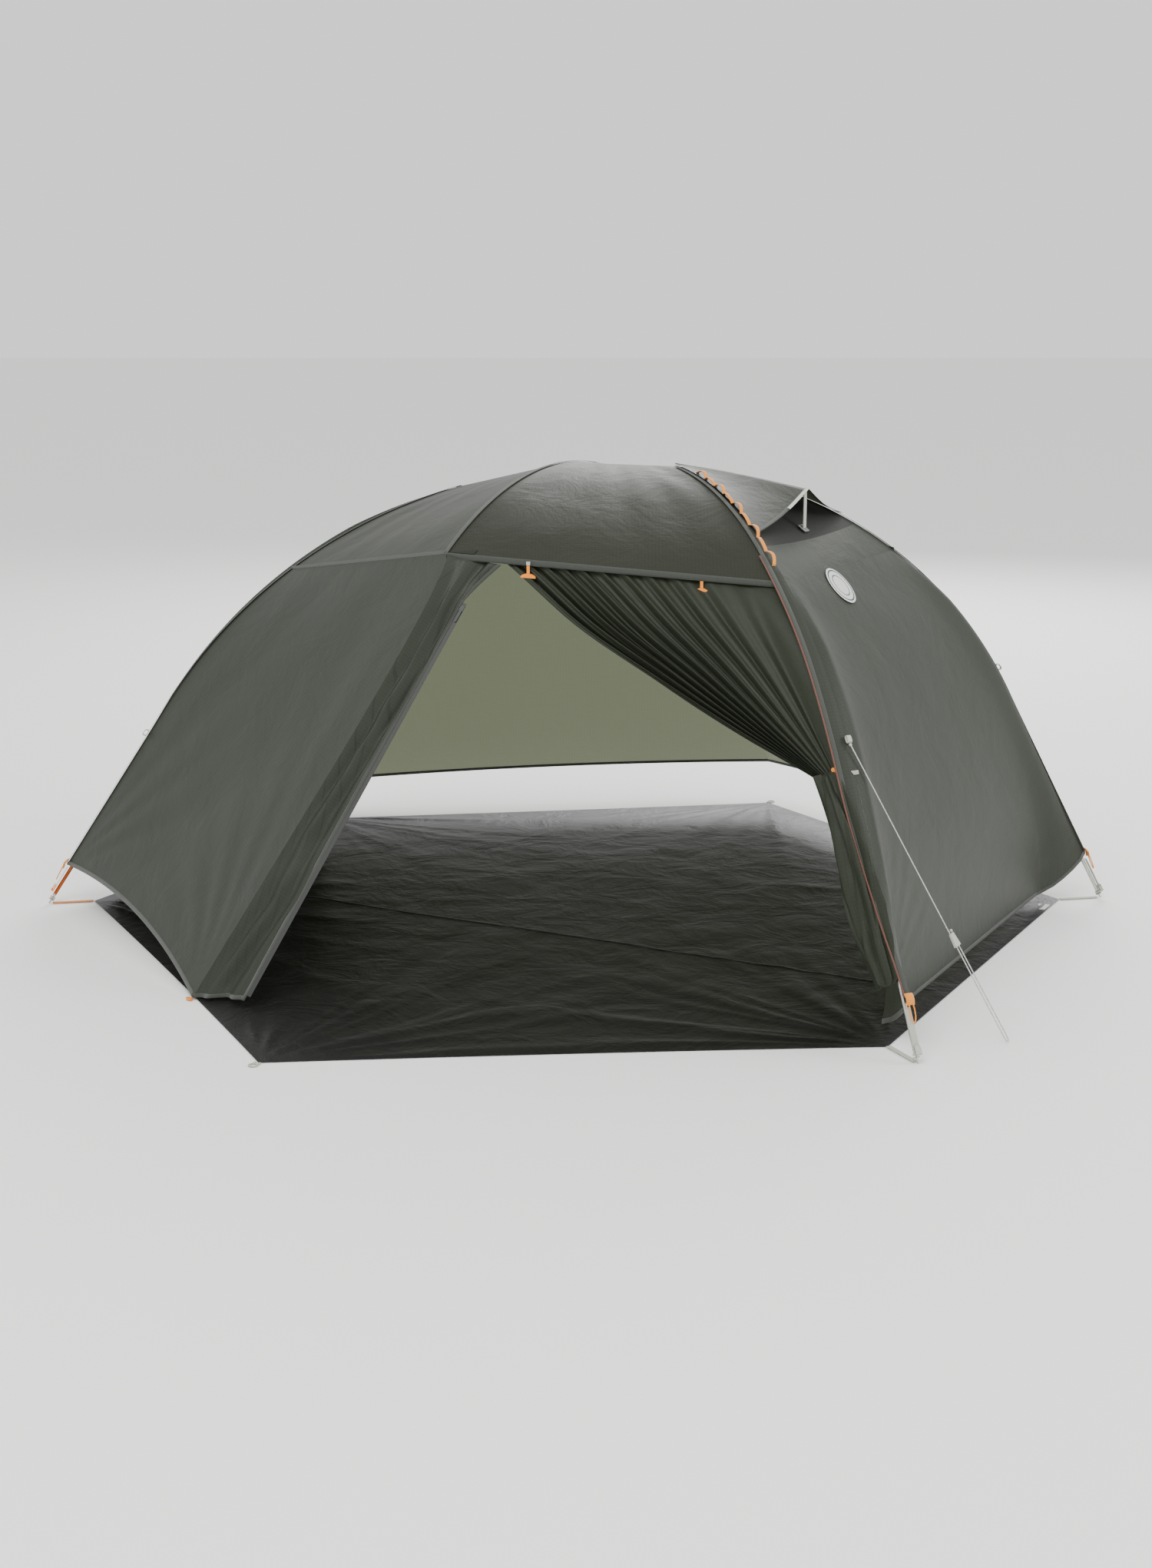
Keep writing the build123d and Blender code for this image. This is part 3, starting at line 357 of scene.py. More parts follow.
def patch(left, right, top=None, bottom=None, sag=0.0, inside=Vector((0, 0, 0.3))):
    """A sheet stretched between four edges, each a function of its share: left and right
    run down, top and bottom run across. sag pulls its middle towards inside."""
    top = top or (lambda u: left(0).lerp(right(0), u))
    bottom = bottom or (lambda u: left(1).lerp(right(1), u))
    middle = (left(0) + left(1) + right(0) + right(1)) / 4
    face_way = (right(0.5) - left(0.5)).cross(bottom(0.5) - top(0.5)).normalized()
    inward = face_way if face_way.dot(inside - middle) > 0 else -face_way

    def surface(u, v):
        flat = (left(v).lerp(right(v), u) + top(u).lerp(bottom(u), v)
                - left(0).lerp(right(0), u).lerp(left(1).lerp(right(1), u), v))
        return flat + inward * (sag * 16 * u * (1 - u) * v * (1 - v))

    return surface, inward


def flat_threads(across, down):
    """UV in metres by laying the cloth's threads along two directions."""
    across = (across - down * across.dot(down) / down.dot(down)).normalized()
    down = down.normalized()
    return lambda u, v, point: (point.dot(across), point.dot(down))


def crease_field(seed, amount, size, stretch):
    """A small in-and-out of the cloth: stretch makes the creases long one way."""
    return lambda u, v: amount * noise.noise(Vector((u * size * stretch[0], v * size * stretch[1], seed)))


def declare_sheet(piece):
    mesh = piece.data
    area = sum(polygon.area for polygon in mesh.polygons)
    uvs = [loop.uv for loop in mesh.uv_layers[0].data]
    width = max(uv.x for uv in uvs) - min(uv.x for uv in uvs)
    length = max(uv.y for uv in uvs) - min(uv.y for uv in uvs)
    width, length = max(width, 0.02), max(length, 0.02)
    grow = max(1.0, (area / (width * length)) ** 0.5 * 1.0005)
    width, length = width * grow, length * grow
    print(f"{piece.name}: {width:.2f} x {length:.2f} m, {area:.3f} square metres")


# %% [markdown]
# The fly's roof is four panels between the brow pole and the legs. They are pulled
# tight, so they sag only a few millimetres, and shallow creases run along the pull.

# %% Roof panels
def creased(surface, inward, field):
    """Add creases that fade out at the sheet's edges, where the seams hold it."""
    def laid(u, v):
        hold = min(1.0, 9 * min(u, 1 - u, v, 1 - v))
        return surface(u, v) + inward * (field(u, v) * hold)
    return laid


def down_leg(leg, start, end, slipped=True):
    return lambda share: leg["at"](start + (end - start) * share, slipped=slipped)


roof_pieces = {}
for end in ("head", "foot"):
    for side, sign in (("front", -1), ("rear", 1)):
        leg = legs[f"{end}_{side}"]
        surface, inward = patch(lambda v, s=sign: brow(s * v), down_leg(leg, 0, leg["band"]), sag=0.006)
        surface = creased(surface, inward, crease_field(3.1 * sign + len(end), 0.0035, 3.0, (2.2, 1.0)))
        threads = flat_threads(Vector((1, 0, 0)), surface(0.5, 1) - surface(0.5, 0))
        work = lay_grid(40, 44, surface, threads)
        # The head end's roof panels get the darker copy of the fly cloth, which is painted shade.
        roof_pieces[end, side] = make_piece(f"roof_{side}_{end}_sheet", work,
                                            fly_painted_shade if end == "head" else fly_grey_olive)
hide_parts("roof_front_head")
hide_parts("roof_front_foot")
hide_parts("roof_rear")
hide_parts("roof_rear")
for piece in roof_pieces.values():
    declare_sheet(piece)

# %% [markdown]
# The end walls hang between the two legs of an end. Their hem is cut in a curve: it
# starts high at each leg and drops to near the ground in the middle, against splash.

# %% End walls
def wall_hem(end):
    """The hem between two legs: high at the legs, and clipped in to the footprint's corners."""
    front, rear = (legs[f"{end}_{side}"]["at"](legs[f"{end}_{side}"]["corner"]) for side in ("front", "rear"))
    reach_x, reach_y = (1.078, 0.598) if end == "head" else (-1.078, 0.470)

    def hem(share):
        y = front.y + (rear.y - front.y) * share
        near = min(max((abs(y) - reach_y) / (abs(rear.y) - reach_y), 0.0), 1.0)
        corner = front if y < 0 else rear
        x, z = reach_x + (corner.x - reach_x) * near ** 0.8, 0.026 + (corner.z - 0.026) * near ** 1.2
        return Vector((x, y, z))
    return hem


HEM_PULL = 5
POLE_BULGE, BULGE_AWAY = 0.013, 0.026


def over_the_pole(u):
    """How far the wall stands out where it passes over a pole, beside each seam."""
    return sum(POLE_BULGE * side / BULGE_AWAY * exp(1 - side / BULGE_AWAY) for side in (u, 1 - u))


def wall_creases(u, v):
    """Tight little folds that fan up from the two clipped corners, and slow waves above."""
    creases = 0.005 * noise.noise(Vector((2.4 * u, 4.3 * v, 4.0)))
    for side in (u, 1 - u):
        angle, away = atan2(side - 0.04, 1.02 - v), hypot(1.3 * (side - 0.04), 1.02 - v)
        ripple_phase = 2 * noise.noise(Vector((9 * u, 5 * v, 1)))
        creases += 0.0040 * sin(30 * angle + ripple_phase) * max(0.0, 1 - away / 0.42)
    return creases


end_walls, wall_surfaces = {}, {}
for end, finish in (("head", fly_grey_olive), ("foot", fly_grey_olive)):
    front_leg, rear_leg = legs[end + "_front"], legs[end + "_rear"]
    start = front_leg["band"] if end == "head" else 0.0
    surface, inward = patch(down_leg(front_leg, start, front_leg["corner"], slipped=False),
                            down_leg(rear_leg, start, rear_leg["corner"]),
                            sag=0.012)
    surface = creased(surface, inward, wall_creases)
    drawn_in = wall_hem(end)
    surface = (lambda u, v, flat=surface, hem=drawn_in, inward=inward:
               flat(u, v) + (hem(u) - flat(u, 1)) * v ** HEM_PULL
               - inward * (over_the_pole(u) * min(1.0, 5 * v)))
    wall_surfaces[end] = surface
    threads = flat_threads(Vector((0, 1, 0)), surface(0.5, 1) - surface(0.5, 0))
    end_walls[end] = make_piece(f"end_wall_{end}_sheet", lay_grid(56, 72, surface, threads), finish,
                                replaces=[f"end_wall_{end}"])
    declare_sheet(end_walls[end])

# %% [markdown]
# With the door open the head seam slips a few centimetres off its pole, towards the
# door. The wall's cloth wraps over the pole to reach it, in a narrow strip.

# %% Strip between the head pole and its seam
head_leg = legs["head_front"]


def wrap_surface(u, v):
    distance = head_leg["corner"] * (0.02 + 0.98 * v)
    over_pole, seam = head_leg["at"](distance, slipped=False), head_leg["at"](distance)
    return over_pole.lerp(seam, u) + head_leg["out"](distance) * 0.0015 * sin(pi * u)


wrap_width = sum((wrap_surface(1, i / 40) - wrap_surface(0, i / 40)).length for i in range(41)) / 41
wrap = make_piece("pole_wrap_sheet",
                  lay_grid(6, 90, wrap_surface, lambda u, v, point: (u * wrap_width, v * head_leg["corner"])),
                  fly_grey_olive)
declare_sheet(wrap)

# %% [markdown]
# The front vestibule's fixed half runs from the foot leg to a ridge crease between the
# brow pole's end and the ground clip. The crease bows towards the door, and the hem
# is cut on a hanging curve so that it pulls tight.

# %% Fixed front panel and storm flap
door_way = (brow_front - band_foot).normalized()
foot_leg = legs["foot_front"]
CREASE_BOW, HEM_RISE = 0.050, 0.042


def ridge_crease(share):
    bow = sin(pi * share ** 0.5) * CREASE_BOW
    return brow_front.lerp(hem_corner, share) + door_way * bow


foot_corner = foot_leg["at"](foot_leg["corner"])


def fixed_hem(share):
    rise = (brow_front - hem_corner).normalized() * HEM_RISE * 4 * share * (1 - share)
    return foot_corner.lerp(hem_corner, share) + rise


surface, inward = patch(down_leg(foot_leg, foot_leg["band"], foot_leg["corner"]), ridge_crease,
                        bottom=fixed_hem, sag=0.014)


def pull_creases(u, v):
    """Long shallow creases that run from the two lower corners up into the panel."""
    from_clip = atan2(1.02 - u, 1.03 - v)
    from_leg = atan2(u + 0.02, 1.03 - v)
    near_clip, near_leg = 1 / (1 + 9 * hypot(1 - u, 1 - v)), 1 / (1 + 9 * hypot(u, 1 - v))
    return (0.0045 * near_clip * sin(22 * from_clip) + 0.004 * near_leg * sin(20 * from_leg)
            + 0.0035 * noise.noise(Vector((3.2 * (u + 0.6 * v), 1.1 * (v - u), 4.7))))


fixed_surface = creased(surface, inward, pull_creases)
threads = flat_threads(door_way, fixed_surface(0.5, 1) - fixed_surface(0.5, 0))
fixed_panel = make_piece("front_fixed_sheet", lay_grid(60, 72, fixed_surface, threads), fly_grey_olive,
                         replaces=["front_fixed_panel"])
declare_sheet(fixed_panel)


def zip_edge(share):
    """The storm flap's free edge: from the band to its bend, then straight down the zip."""
    turn = 0.13
    if share < turn:
        return zip_top.lerp(zip_bend, share / turn) + door_way * -0.006 * sin(pi * share / turn)
    return zip_bend.lerp(zip_bottom, (share - turn) / (1 - turn))


flap_in = Vector((0.25, 0.55, 0)).normalized()


def flap_surface(u, v):
    """A loose strip: its middle hangs in, with folds that run down its length."""
    flat = ridge_crease(v).lerp(zip_edge(v), u)
    wide = (ridge_crease(v) - zip_edge(v)).length
    loose = 4 * u * (1 - u)
    folds = sin(2 * pi * (2.1 * u + 0.5 * noise.noise(Vector((0, 4 * v, 1.3))))) * 0.010
    ripple = 0.008 * noise.noise(Vector((5 * u + 3 * v, 13 * v, 2.2)))
    return flat + flap_in * (loose * (0.10 * wide + folds + ripple))


flap_threads = flat_threads(door_way, zip_bottom - zip_bend)
storm_flap = make_piece("storm_flap_sheet", lay_grid(20, 120, flap_surface, flap_threads), fly_grey_olive,
                        replaces=["storm_flap"])
declare_sheet(storm_flap)

# %% [markdown]
# The rear vestibule is the same cloth seen from inside. Light comes through it, so its
# inside glows pale green and its ripstop grid shows. The glow is partly the shader's
# translucency and partly painted light, a lighter face colour. Its hem is held off the ground.

# %% Rear vestibule
for end in ("foot", "head"):
    leg = legs[end + "_rear"]
    rise = (brow_rear - rear_apex).normalized() * 0.022

    def rear_hem(share, leg=leg, rise=rise):
        return leg["at"](leg["corner"]).lerp(rear_apex, share) + rise * 4 * share * (1 - share)

    surface, inward = patch(down_leg(leg, leg["band"], leg["corner"]), lambda v: brow_rear.lerp(rear_apex, v),
                            bottom=rear_hem, sag=0.014)
    surface = creased(surface, inward, crease_field(7.5 + len(end), 0.0045, 3.0, (1.6, 1.0)))
    threads = flat_threads(band_head - brow_front, surface(0.5, 1) - surface(0.5, 0))
    # The rear panels take the lighter copy of the cloth, with painted backlight glow.
    rear = make_piece(f"rear_panel_{end}_sheet", lay_grid(48, 60, surface, threads), fly_backlit_painted_glow,
                      replaces=["rear_panel"])
    declare_sheet(rear)

# %% [markdown]
# The open door is gathered to a tie on the head leg. Its top stays sewn under the band,
# so the cloth makes a fan of pleats that meet at the tie. The pleats are tight and dark
# along the free edge, and broad and shallow near the leg.

# %% Gathered door
tie_distance = head_leg["corner"] - (0.545 - 0.118) / sin(radians(62))
tie_point = head_leg["at"](tie_distance) - head_leg["way"] * 0.026 + Vector((-0.018, -0.010, 0))
set_back = Vector((0, 0.013, 0))
door_start = zip_top + Vector((-0.004, 0, 0.010)) + set_back
door_end = band_head + band_drop * 0.2 + set_back
fan_out = (door_end - door_start).cross(tie_point - door_start).normalized()
fan_out = fan_out if fan_out.y < 0 else -fan_out
tie_end = head_leg["at"](tie_distance, FLY_LIFT - 0.006) + set_back * 0.3
FREE_EDGE_DIP = (0.0, -0.034, -0.030, -0.018, 0.0)
PLEATS = 10


def door_leg_edge(v):
    distance = head_leg["band"] + (tie_distance - head_leg["band"]) * v
    return head_leg["at"](distance, FLY_LIFT - 0.006) + set_back * 0.6


def door_free_edge(v):
    straight = door_start.lerp(tie_point + Vector((-0.016, 0, -0.012)), v)
    return straight + Vector((0, 0, smooth_through(FREE_EDGE_DIP, v)))


def fan_surface(u, v):
    """u: from the free edge to the leg, v: from the band down to the tie."""
    left, right = door_free_edge(v), door_leg_edge(v)
    top, bottom = door_start.lerp(door_end, u), door_free_edge(1).lerp(tie_end, u)
    corners = door_start.lerp(door_end, u).lerp(door_free_edge(1).lerp(tie_end, u), v)
    flat = left.lerp(right, u) + top.lerp(bottom, v) - corners
    spread = sin(pi * min(1.0, 0.04 + v * 0.96)) ** 0.6
    phase = 2 * pi * PLEATS * (1 - (1 - u) ** 1.7) + 1.4 * noise.noise(Vector((3 * u, 1.4 * v, 8.1)))
    fold = sin(phase) + 0.45 * sin(2.1 * phase + 1.3 + 2 * v)
    depth = (0.005 + 0.011 * (1 - u) ** 2) * spread * (1.15 - 0.6 * v * u)
    wander = 0.012 * noise.noise(Vector((4.0 * u, 1.6 * v, 3.3))) * spread
    held = min(1.0, 8 * (1 - u) + 0.1)
    return flat + fan_out * ((depth * fold + wander) * held - 0.004 * spread)


def fan_threads(u, v, point):
    return (u * 1.15, v * 0.72)


work = lay_grid(240, 70, fan_surface, fan_threads)
door_fan = make_piece("front_door_sheet", work, door_olive, replaces=["front_door"])

# %% [markdown]
# Below the tie the rest of the door hangs in a slim bundle beside the leg. It is one
# sheet rolled on itself, so it is laid as a closed tube with deep folds, which open out
# a little towards its lower end.

# %% Door bundle
bundle_top = tie_point + Vector((0.002, 0.001, 0.008))
bundle_low = head_leg["at"](head_leg["corner"] - (0.140 - 0.118) / sin(radians(62)))
bundle_low = bundle_low + Vector((-0.030, -0.006, 0))
bundle_way = (bundle_low - bundle_top).normalized()
bundle_side = bundle_way.cross(Vector((0, 1, 0))).normalized()
bundle_front = bundle_way.cross(bundle_side).normalized()
bundle_widths = (0.020, 0.027, 0.030, 0.029, 0.021)


def bundle_surface(u, v):
    turn = 2 * pi * u + 0.5 * sin(3 * v)
    folds = 1 + 0.34 * sin(5 * turn + 3 * v) + 0.14 * sin(9 * turn - 5 * v)
    ends = min(1.0, (v / 0.03) ** 0.5, ((1 - v) / 0.02) ** 0.5)
    wide = smooth_through(bundle_widths, v) * folds * ends
    ripple = 0.004 * ends * noise.noise(Vector((3 * cos(turn), 3 * sin(turn), 11 * v)))
    centre = bundle_top.lerp(bundle_low, v) + bundle_side * (0.006 * sin(5 * v))
    reach_out = wide + ripple
    return centre + bundle_side * (cos(turn) * reach_out) + bundle_front * (sin(turn) * 0.55 * reach_out)


work = lay_grid(96, 90, bundle_surface, lambda u, v, point: (u * 0.25, v * 0.43))
door_roll = make_piece("door_bundle_sheet", work, door_olive, replaces=["door_bundle"])


def ruffle_surface(u, v):
    """The door's hemmed edge, which hangs outside the bundle in a loose wave."""
    centre = bundle_top.lerp(bundle_low, v) + bundle_side * (0.006 * sin(5 * v))
    reach = smooth_through(bundle_widths, v) * 1.05
    wave = 0.010 * sin(9 * v + 2.2 * u) * u
    return centre - bundle_side * (reach * (0.5 + 0.85 * u)) + bundle_front * (0.004 + wave)


work = lay_grid(10, 80, ruffle_surface, lambda u, v, point: (u * 0.05, v * 0.43))
ruffle = make_piece("door_edge_ruffle", work, door_olive)

# %% [markdown]
# The vent hood is a stiffened flap over the net at the head end. A strut holds its tip
# up.

# %% Vent hood and net
head_rear = legs["head_rear"]
hood_reach = 0.735 * head_leg["band"]
hood_peak = Vector((0.652, 0, 1.107))
hood_root = Vector((0.304, 0, 1.157))


def hood_surface(u, v):
    """u: from the front leg to the rear one, v: from the hub to the hood's free edge."""
    side_leg = head_leg if u < 0.5 else head_rear
    edge = side_leg["at"](hood_reach * v, FLY_LIFT + 0.006, slipped=False)
    edge.y *= 0.985
    crest = hood_root.lerp(hood_peak, v) + Vector((0, 0, 0.004 * sin(pi * v)))
    share = abs(2 * u - 1)
    droop = 0.010 * v * sin(pi * share)
    return crest.lerp(edge, share) + Vector((0, 0, -droop))


work = lay_grid(48, 30, hood_surface, flat_threads(Vector((0, 1, 0)), hood_peak - hood_root))
# The hood takes the darker copy of the fly cloth, which is painted shade.
hood = make_piece("vent_hood_sheet", work, fly_painted_shade, replaces=["vent_hood"])
declare_sheet(hood)


def net_surface(u, v):
    left = head_leg["at"](head_leg["band"] * v, slipped=False)
    right = head_rear["at"](head_leg["band"] * v, FLY_LIFT)
    return left.lerp(right, u) + Vector((0, 0, -0.012 * 4 * u * (1 - u) * v))


net_share = 0.80
work = lay_grid(36, 26, lambda u, v: net_surface(u, v * net_share),
                flat_threads(Vector((0, 1, 0)), Vector((1, 0, -0.4))))
net = make_piece("vent_net_sheet", work, vent_net, replaces=["vent_mesh"])
declare_sheet(net)
work = lay_grid(40, 10, lambda u, v: net_surface(u, net_share + v * (1 - net_share)),
                flat_threads(Vector((0, 1, 0)), Vector((1, 0, -0.6))))
net_yoke = make_piece("vent_yoke_sheet", work, fly_grey_olive, replaces=["vent_mesh"])
declare_sheet(net_yoke)

# %% [markdown]
# The footprint lies on the ground with its corners pulled out. Long shallow wrinkles
# run from the pegged corners, and a joining seam crosses it. It is a thin dark coated
# nylon, smoother than the fly, so the wrinkles catch the light.

# %% Footprint
HALF_FLOOR, HEAD_HALF, FOOT_HALF, APEX_Y = 1.120, 0.660, 0.532, 1.360
pulled_corners = ((0, -APEX_Y, 1.0), (HALF_FLOOR, -HEAD_HALF, 1.0), (0, APEX_Y, 0.7),
                  (-HALF_FLOOR, -FOOT_HALF, 0.8), (HALF_FLOOR, HEAD_HALF, 0.7), (-HALF_FLOOR, FOOT_HALF, 0.7))


def floor_edge(x, sign):
    corner_y = HEAD_HALF if x > 0 else FOOT_HALF
    bow = 4 * (abs(x) / HALF_FLOOR) * (1 - abs(x) / HALF_FLOOR) * 0.008
    return sign * (APEX_Y + (corner_y - APEX_Y) * abs(x) / HALF_FLOOR - bow)


def wrinkle_height(x, y):
    rise = 0.0
    for i, (cx, cy, weight) in enumerate(pulled_corners):
        away = hypot(x - cx, y - cy)
        angle = atan2(y - cy, x - cx)
        waver = 1.2 * noise.noise(Vector((2.1 * x, 2.1 * y, 3.0 + i)))
        crest = max(0.0, sin(13 * angle + waver + 1.7 * i)) ** 3
        crest += 0.6 * max(0.0, sin(23 * angle - waver + i)) ** 3
        rise += weight * crest * 0.0050 * min(away / 0.12, 1.0) / (1 + (away / 0.55) ** 2)
    rise += 0.0022 * abs(noise.noise(Vector((5 * x, 2.2 * y, 0.4))))
    return rise


def floor_surface(u, v):
    x = (u - 0.5) * 2 * HALF_FLOOR
    front, rear = floor_edge(x, -1), floor_edge(x, 1)
    y = rear + (front - rear) * v
    edge = min(abs(y - front), abs(rear - y), HALF_FLOOR - abs(x)) / 0.05
    return Vector((x, y, 0.0014 + wrinkle_height(x, y) * min(1.0, edge)))


work = lay_grid(220, 260, floor_surface, lambda u, v, point: (point.x, point.y), inside=Vector((0, 0, -1)))
footprint = make_piece("footprint_sheet", work, floor_black, replaces=["footprint"])
declare_sheet(footprint)

# %% [markdown]
# The guy line is one thin braided cord. It is knotted to the loop on the leg, goes down
# to a stake point, round it, and back up through the tensioner to a stopper knot.

# %% Guy line
guy_points = ((0.9763, -0.5421, 0.6146), (1.3281, -0.5244, 0.0174), (1.336, -0.524, 0.004),
              (1.336, -0.508, 0.004), (1.3281, -0.5085, 0.0174), (1.2046, -0.5166, 0.2271))
guy_curve = bpy.data.curves.new("guy_line_cord", "CURVE")
guy_curve.dimensions = "3D"
guy_curve.bevel_depth, guy_curve.bevel_resolution, guy_curve.resolution_u = 0.0013, 3, 24
spline = guy_curve.splines.new("NURBS")
spline.points.add(len(guy_points) - 1)
for point, place in zip(spline.points, guy_points):
    point.co = (*place, 1)
spline.order_u = 3
spline.use_endpoint_u = True
guy_curve.materials.append(cord_finish)
guy_cord = bpy.data.objects.new("guy_line_cord", guy_curve)
bpy.context.scene.collection.objects.link(guy_cord)
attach(guy_cord, "tent")
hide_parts("guy_line")

# %% [markdown]
# Seams are felled: both edges are folded under and sewn flat with two rows of stitches.
# A narrow tape over each panel joint shows that. Two seams at the head end have rusty
# piping beside them, and every free edge is bound with grosgrain.

# %% Seams, piping and bindings
def lay_tape(work, line, across, width, lift, steps, thickness=0.0008):
    """A flat tape on line(share), as wide as width along across(share), lifted outwards."""
    half = width / 2

    def surface(u, v):
        here, side, up = line(v), across(v).normalized(), lift(v).normalized()
        edge = 2 * u - 1
        return here + side * (half * edge) + up * (thickness * (1 - edge ** 4) + 0.0006)

    length = sum((line((i + 1) / steps) - line(i / steps)).length for i in range(steps))
    centre = line(0.5) - lift(0.5) * 0.5
    lay_grid(4, steps, surface, lambda u, v, point: (u * width, v * length), inside=centre, work=work)
    return length


def leg_tape(leg, start, end, shift=0.0, raise_by=0.0012):
    """line, across and lift functions for a tape that follows a leg's seam."""
    side = Vector((leg["way"].y, -leg["way"].x, 0))
    line = lambda v: leg["at"](start + (end - start) * v, FLY_LIFT + raise_by) + side * shift
    return line, (lambda v: side), (lambda v: leg["out"](start + (end - start) * v))


work = bmesh.new()
for name, leg in legs.items():
    line, across, lift = leg_tape(leg, 0.006, leg["corner"] - 0.003)
    lay_tape(work, line, across, 0.011, lift, 90)
brow_out = lambda v: (brow(2 * v - 1, 0.1) - brow(2 * v - 1, 0.0))
lay_tape(work, lambda v: brow(2 * v - 1, FLY_LIFT + 0.0012), lambda v: Vector((1, 0, 0)), 0.011, brow_out, 80)
for low_point, low_leg in ((brow_front, legs["foot_front"]), (brow_rear, legs["foot_rear"]),
                           (brow_rear, legs["head_rear"])):
    end_point = low_leg["at"](low_leg["band"])
    line = lambda v, a=low_point, b=end_point: a.lerp(b, v) + Vector((0, 0, 0.001))
    lift = lambda v, a=low_point: Vector((0, a.y, 0.5))
    lay_tape(work, line, lambda v: Vector((0, 0, 1)), 0.011, lift, 30)
seams = make_piece("felled_seams", work, binding_tape)
print("seams laid", len(seams.data.polygons))

work = bmesh.new()
for name in ("head_front", "head_rear"):
    leg = legs[name]
    sign = -1 if name == "head_front" else 1
    line, across, lift = leg_tape(leg, leg["band"] * 0.86, leg["corner"] - 0.004, shift=sign * 0.0085 * -1)
    lay_tape(work, line, across, 0.0045, lift, 80, thickness=0.0018)
make_piece("rust_piping", work, piping_tape)

work = bmesh.new()
outward = lambda point: (point - Vector((0, 0, 0.3))).normalized()
hem_lines = []
for end in ("head", "foot"):
    end_wall = wall_surfaces[end]
    hem_lines.append((lambda v, s=end_wall: s(v, 1.0), lambda v, s=end_wall: s(v, 0.96) - s(v, 1.0)))
hem_lines.append((lambda v: fixed_surface(v, 1.0), lambda v: fixed_surface(v, 0.96) - fixed_surface(v, 1.0)))
hem_lines.append((lambda v: flap_surface(v, 1.0), lambda v: flap_surface(v, 0.96) - flap_surface(v, 1.0)))
hem_lines.append((lambda v: flap_surface(1.0, v), lambda v: flap_surface(0.8, v) - flap_surface(1.0, v)))
for end in ("foot", "head"):
    rear_hem_rise = (brow_rear - rear_apex).normalized()
    rear_hem_corner = legs[end + "_rear"]["at"](legs[end + "_rear"]["corner"])
    hem = lambda v, corner=rear_hem_corner, rise=rear_hem_rise: corner.lerp(rear_apex, v) + rise * 0.022 * 4 * v * (1 - v)
    hem_lines.append((hem, lambda v: brow_rear - rear_apex))
hem_width = 0.011
for line, inner in hem_lines:
    shifted = lambda v, line=line, inner=inner: line(v) + inner(v).normalized() * (hem_width / 2 - 0.002)
    lift = lambda v, line=line: outward(line(v))
    lay_tape(work, shifted, inner, hem_width, lift, 70)
hems = make_piece("hem_bindings", work, binding_tape)
hem_solid = hems.modifiers.new("two layers", "SOLIDIFY")
hem_solid.thickness, hem_solid.offset = 0.0024, -1.0
print("bindings laid", len(hems.data.polygons))

# %% [markdown]
# The door band is a stiff folded binding along the lower edge of the front roof. It
# covers the zip's top and carries the two toggles.

# %% Door band
work = bmesh.new()
band_side = (band_head - brow_front).cross(Vector((0, 0, 1))).normalized()
band_side = band_side if band_side.y < 0 else -band_side
line = lambda v: brow_front.lerp(band_head, v) + Vector((0, 0, -0.0055)) + band_side * 0.0014
lay_tape(work, line, lambda v: Vector((0, 0, 1)), 0.0145, lambda v: band_side, 60, thickness=0.0012)
door_band = make_piece("door_band_tape", work, binding_tape, replaces=["door_band"])
band_solid = door_band.modifiers.new("folded tape", "SOLIDIFY")
band_solid.thickness, band_solid.offset = 0.0016, -1.0

# %% [markdown]
# CAD nodes whose shape is right keep it. Each gets the finish of its real material.

# %% Finishes on CAD nodes
def dress(finish, *node_names):
    for node_name in node_names:
        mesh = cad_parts[node_name].data
        mesh.materials.clear()
        mesh.materials.append(finish)


for pole_part in ("upper", "lower"):
    for pole_side in ("front", "rear"):
        dress(pole_silver, f"leg_{pole_part}_head_{pole_side}")
        dress(pole_bronze, f"leg_{pole_part}_foot_{pole_side}")
dress(pole_silver, "ridge_pole", "brow_pole")
dress(raw_aluminium, "pole_ferrules", "pole_tips")
dress(elastic, "shock_cords")
dress(moulded_nylon, "hub_head", "hub_foot", "brow_clip", "brow_end_caps")
dress(orange_acetal, "corner_buckles_foot", "hem_clips", "door_toggle_inner", "door_toggle_outer",
      "tie_toggle", "buckle_lever_foot_front", "buckle_lever_foot_rear")
dress(grey_acetal, "corner_buckles_head", "buckle_lever_head_front", "buckle_lever_head_rear",
      "guy_tensioner", "vent_strut")
dress(orange_webbing, "floor_straps_foot", "daisy_chain")
dress(white_webbing, "floor_straps_head", "stake_loops", "guy_loops", "toggle_straps",
      "corner_straps", "corner_eyelets")
dress(hook_tape, "vent_patch")
dress(zip_coil_finish, "door_zip")
dress(zip_metal, "zip_slider")
dress(label_print, "badge", "care_label")
# The brow patches take the darker copy of the fly cloth, which is painted shade.
dress(fly_painted_shade, "brow_patches")
dress(cord_finish, "guy_knots")
print("dressed", len(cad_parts), "nodes")

# %% [markdown]
# A tube follows a path with a ring of eight sides, laid by the same grid. It makes the
# cord loops at the fly's corners. Each corner also has an orange tab of folded webbing.

# %% Corner tabs and cord loops
def lay_tube(work, path, radius, steps, reference):
    """A round tube along path(share). reference is a direction the path never takes."""
    def surface(u, v):
        along = (path(min(v + 0.01, 1.0)) - path(max(v - 0.01, 0.0))).normalized()
        side = along.cross(reference).normalized()
        return path(v) + (side * cos(2 * pi * u) + along.cross(side) * sin(2 * pi * u)) * radius
    length = sum((path((i + 1) / steps) - path(i / steps)).length for i in range(steps))
    lay_grid(8, steps, surface, lambda u, v, point: (u * 2 * pi * radius, v * length),
             inside=path(0.5), work=work)


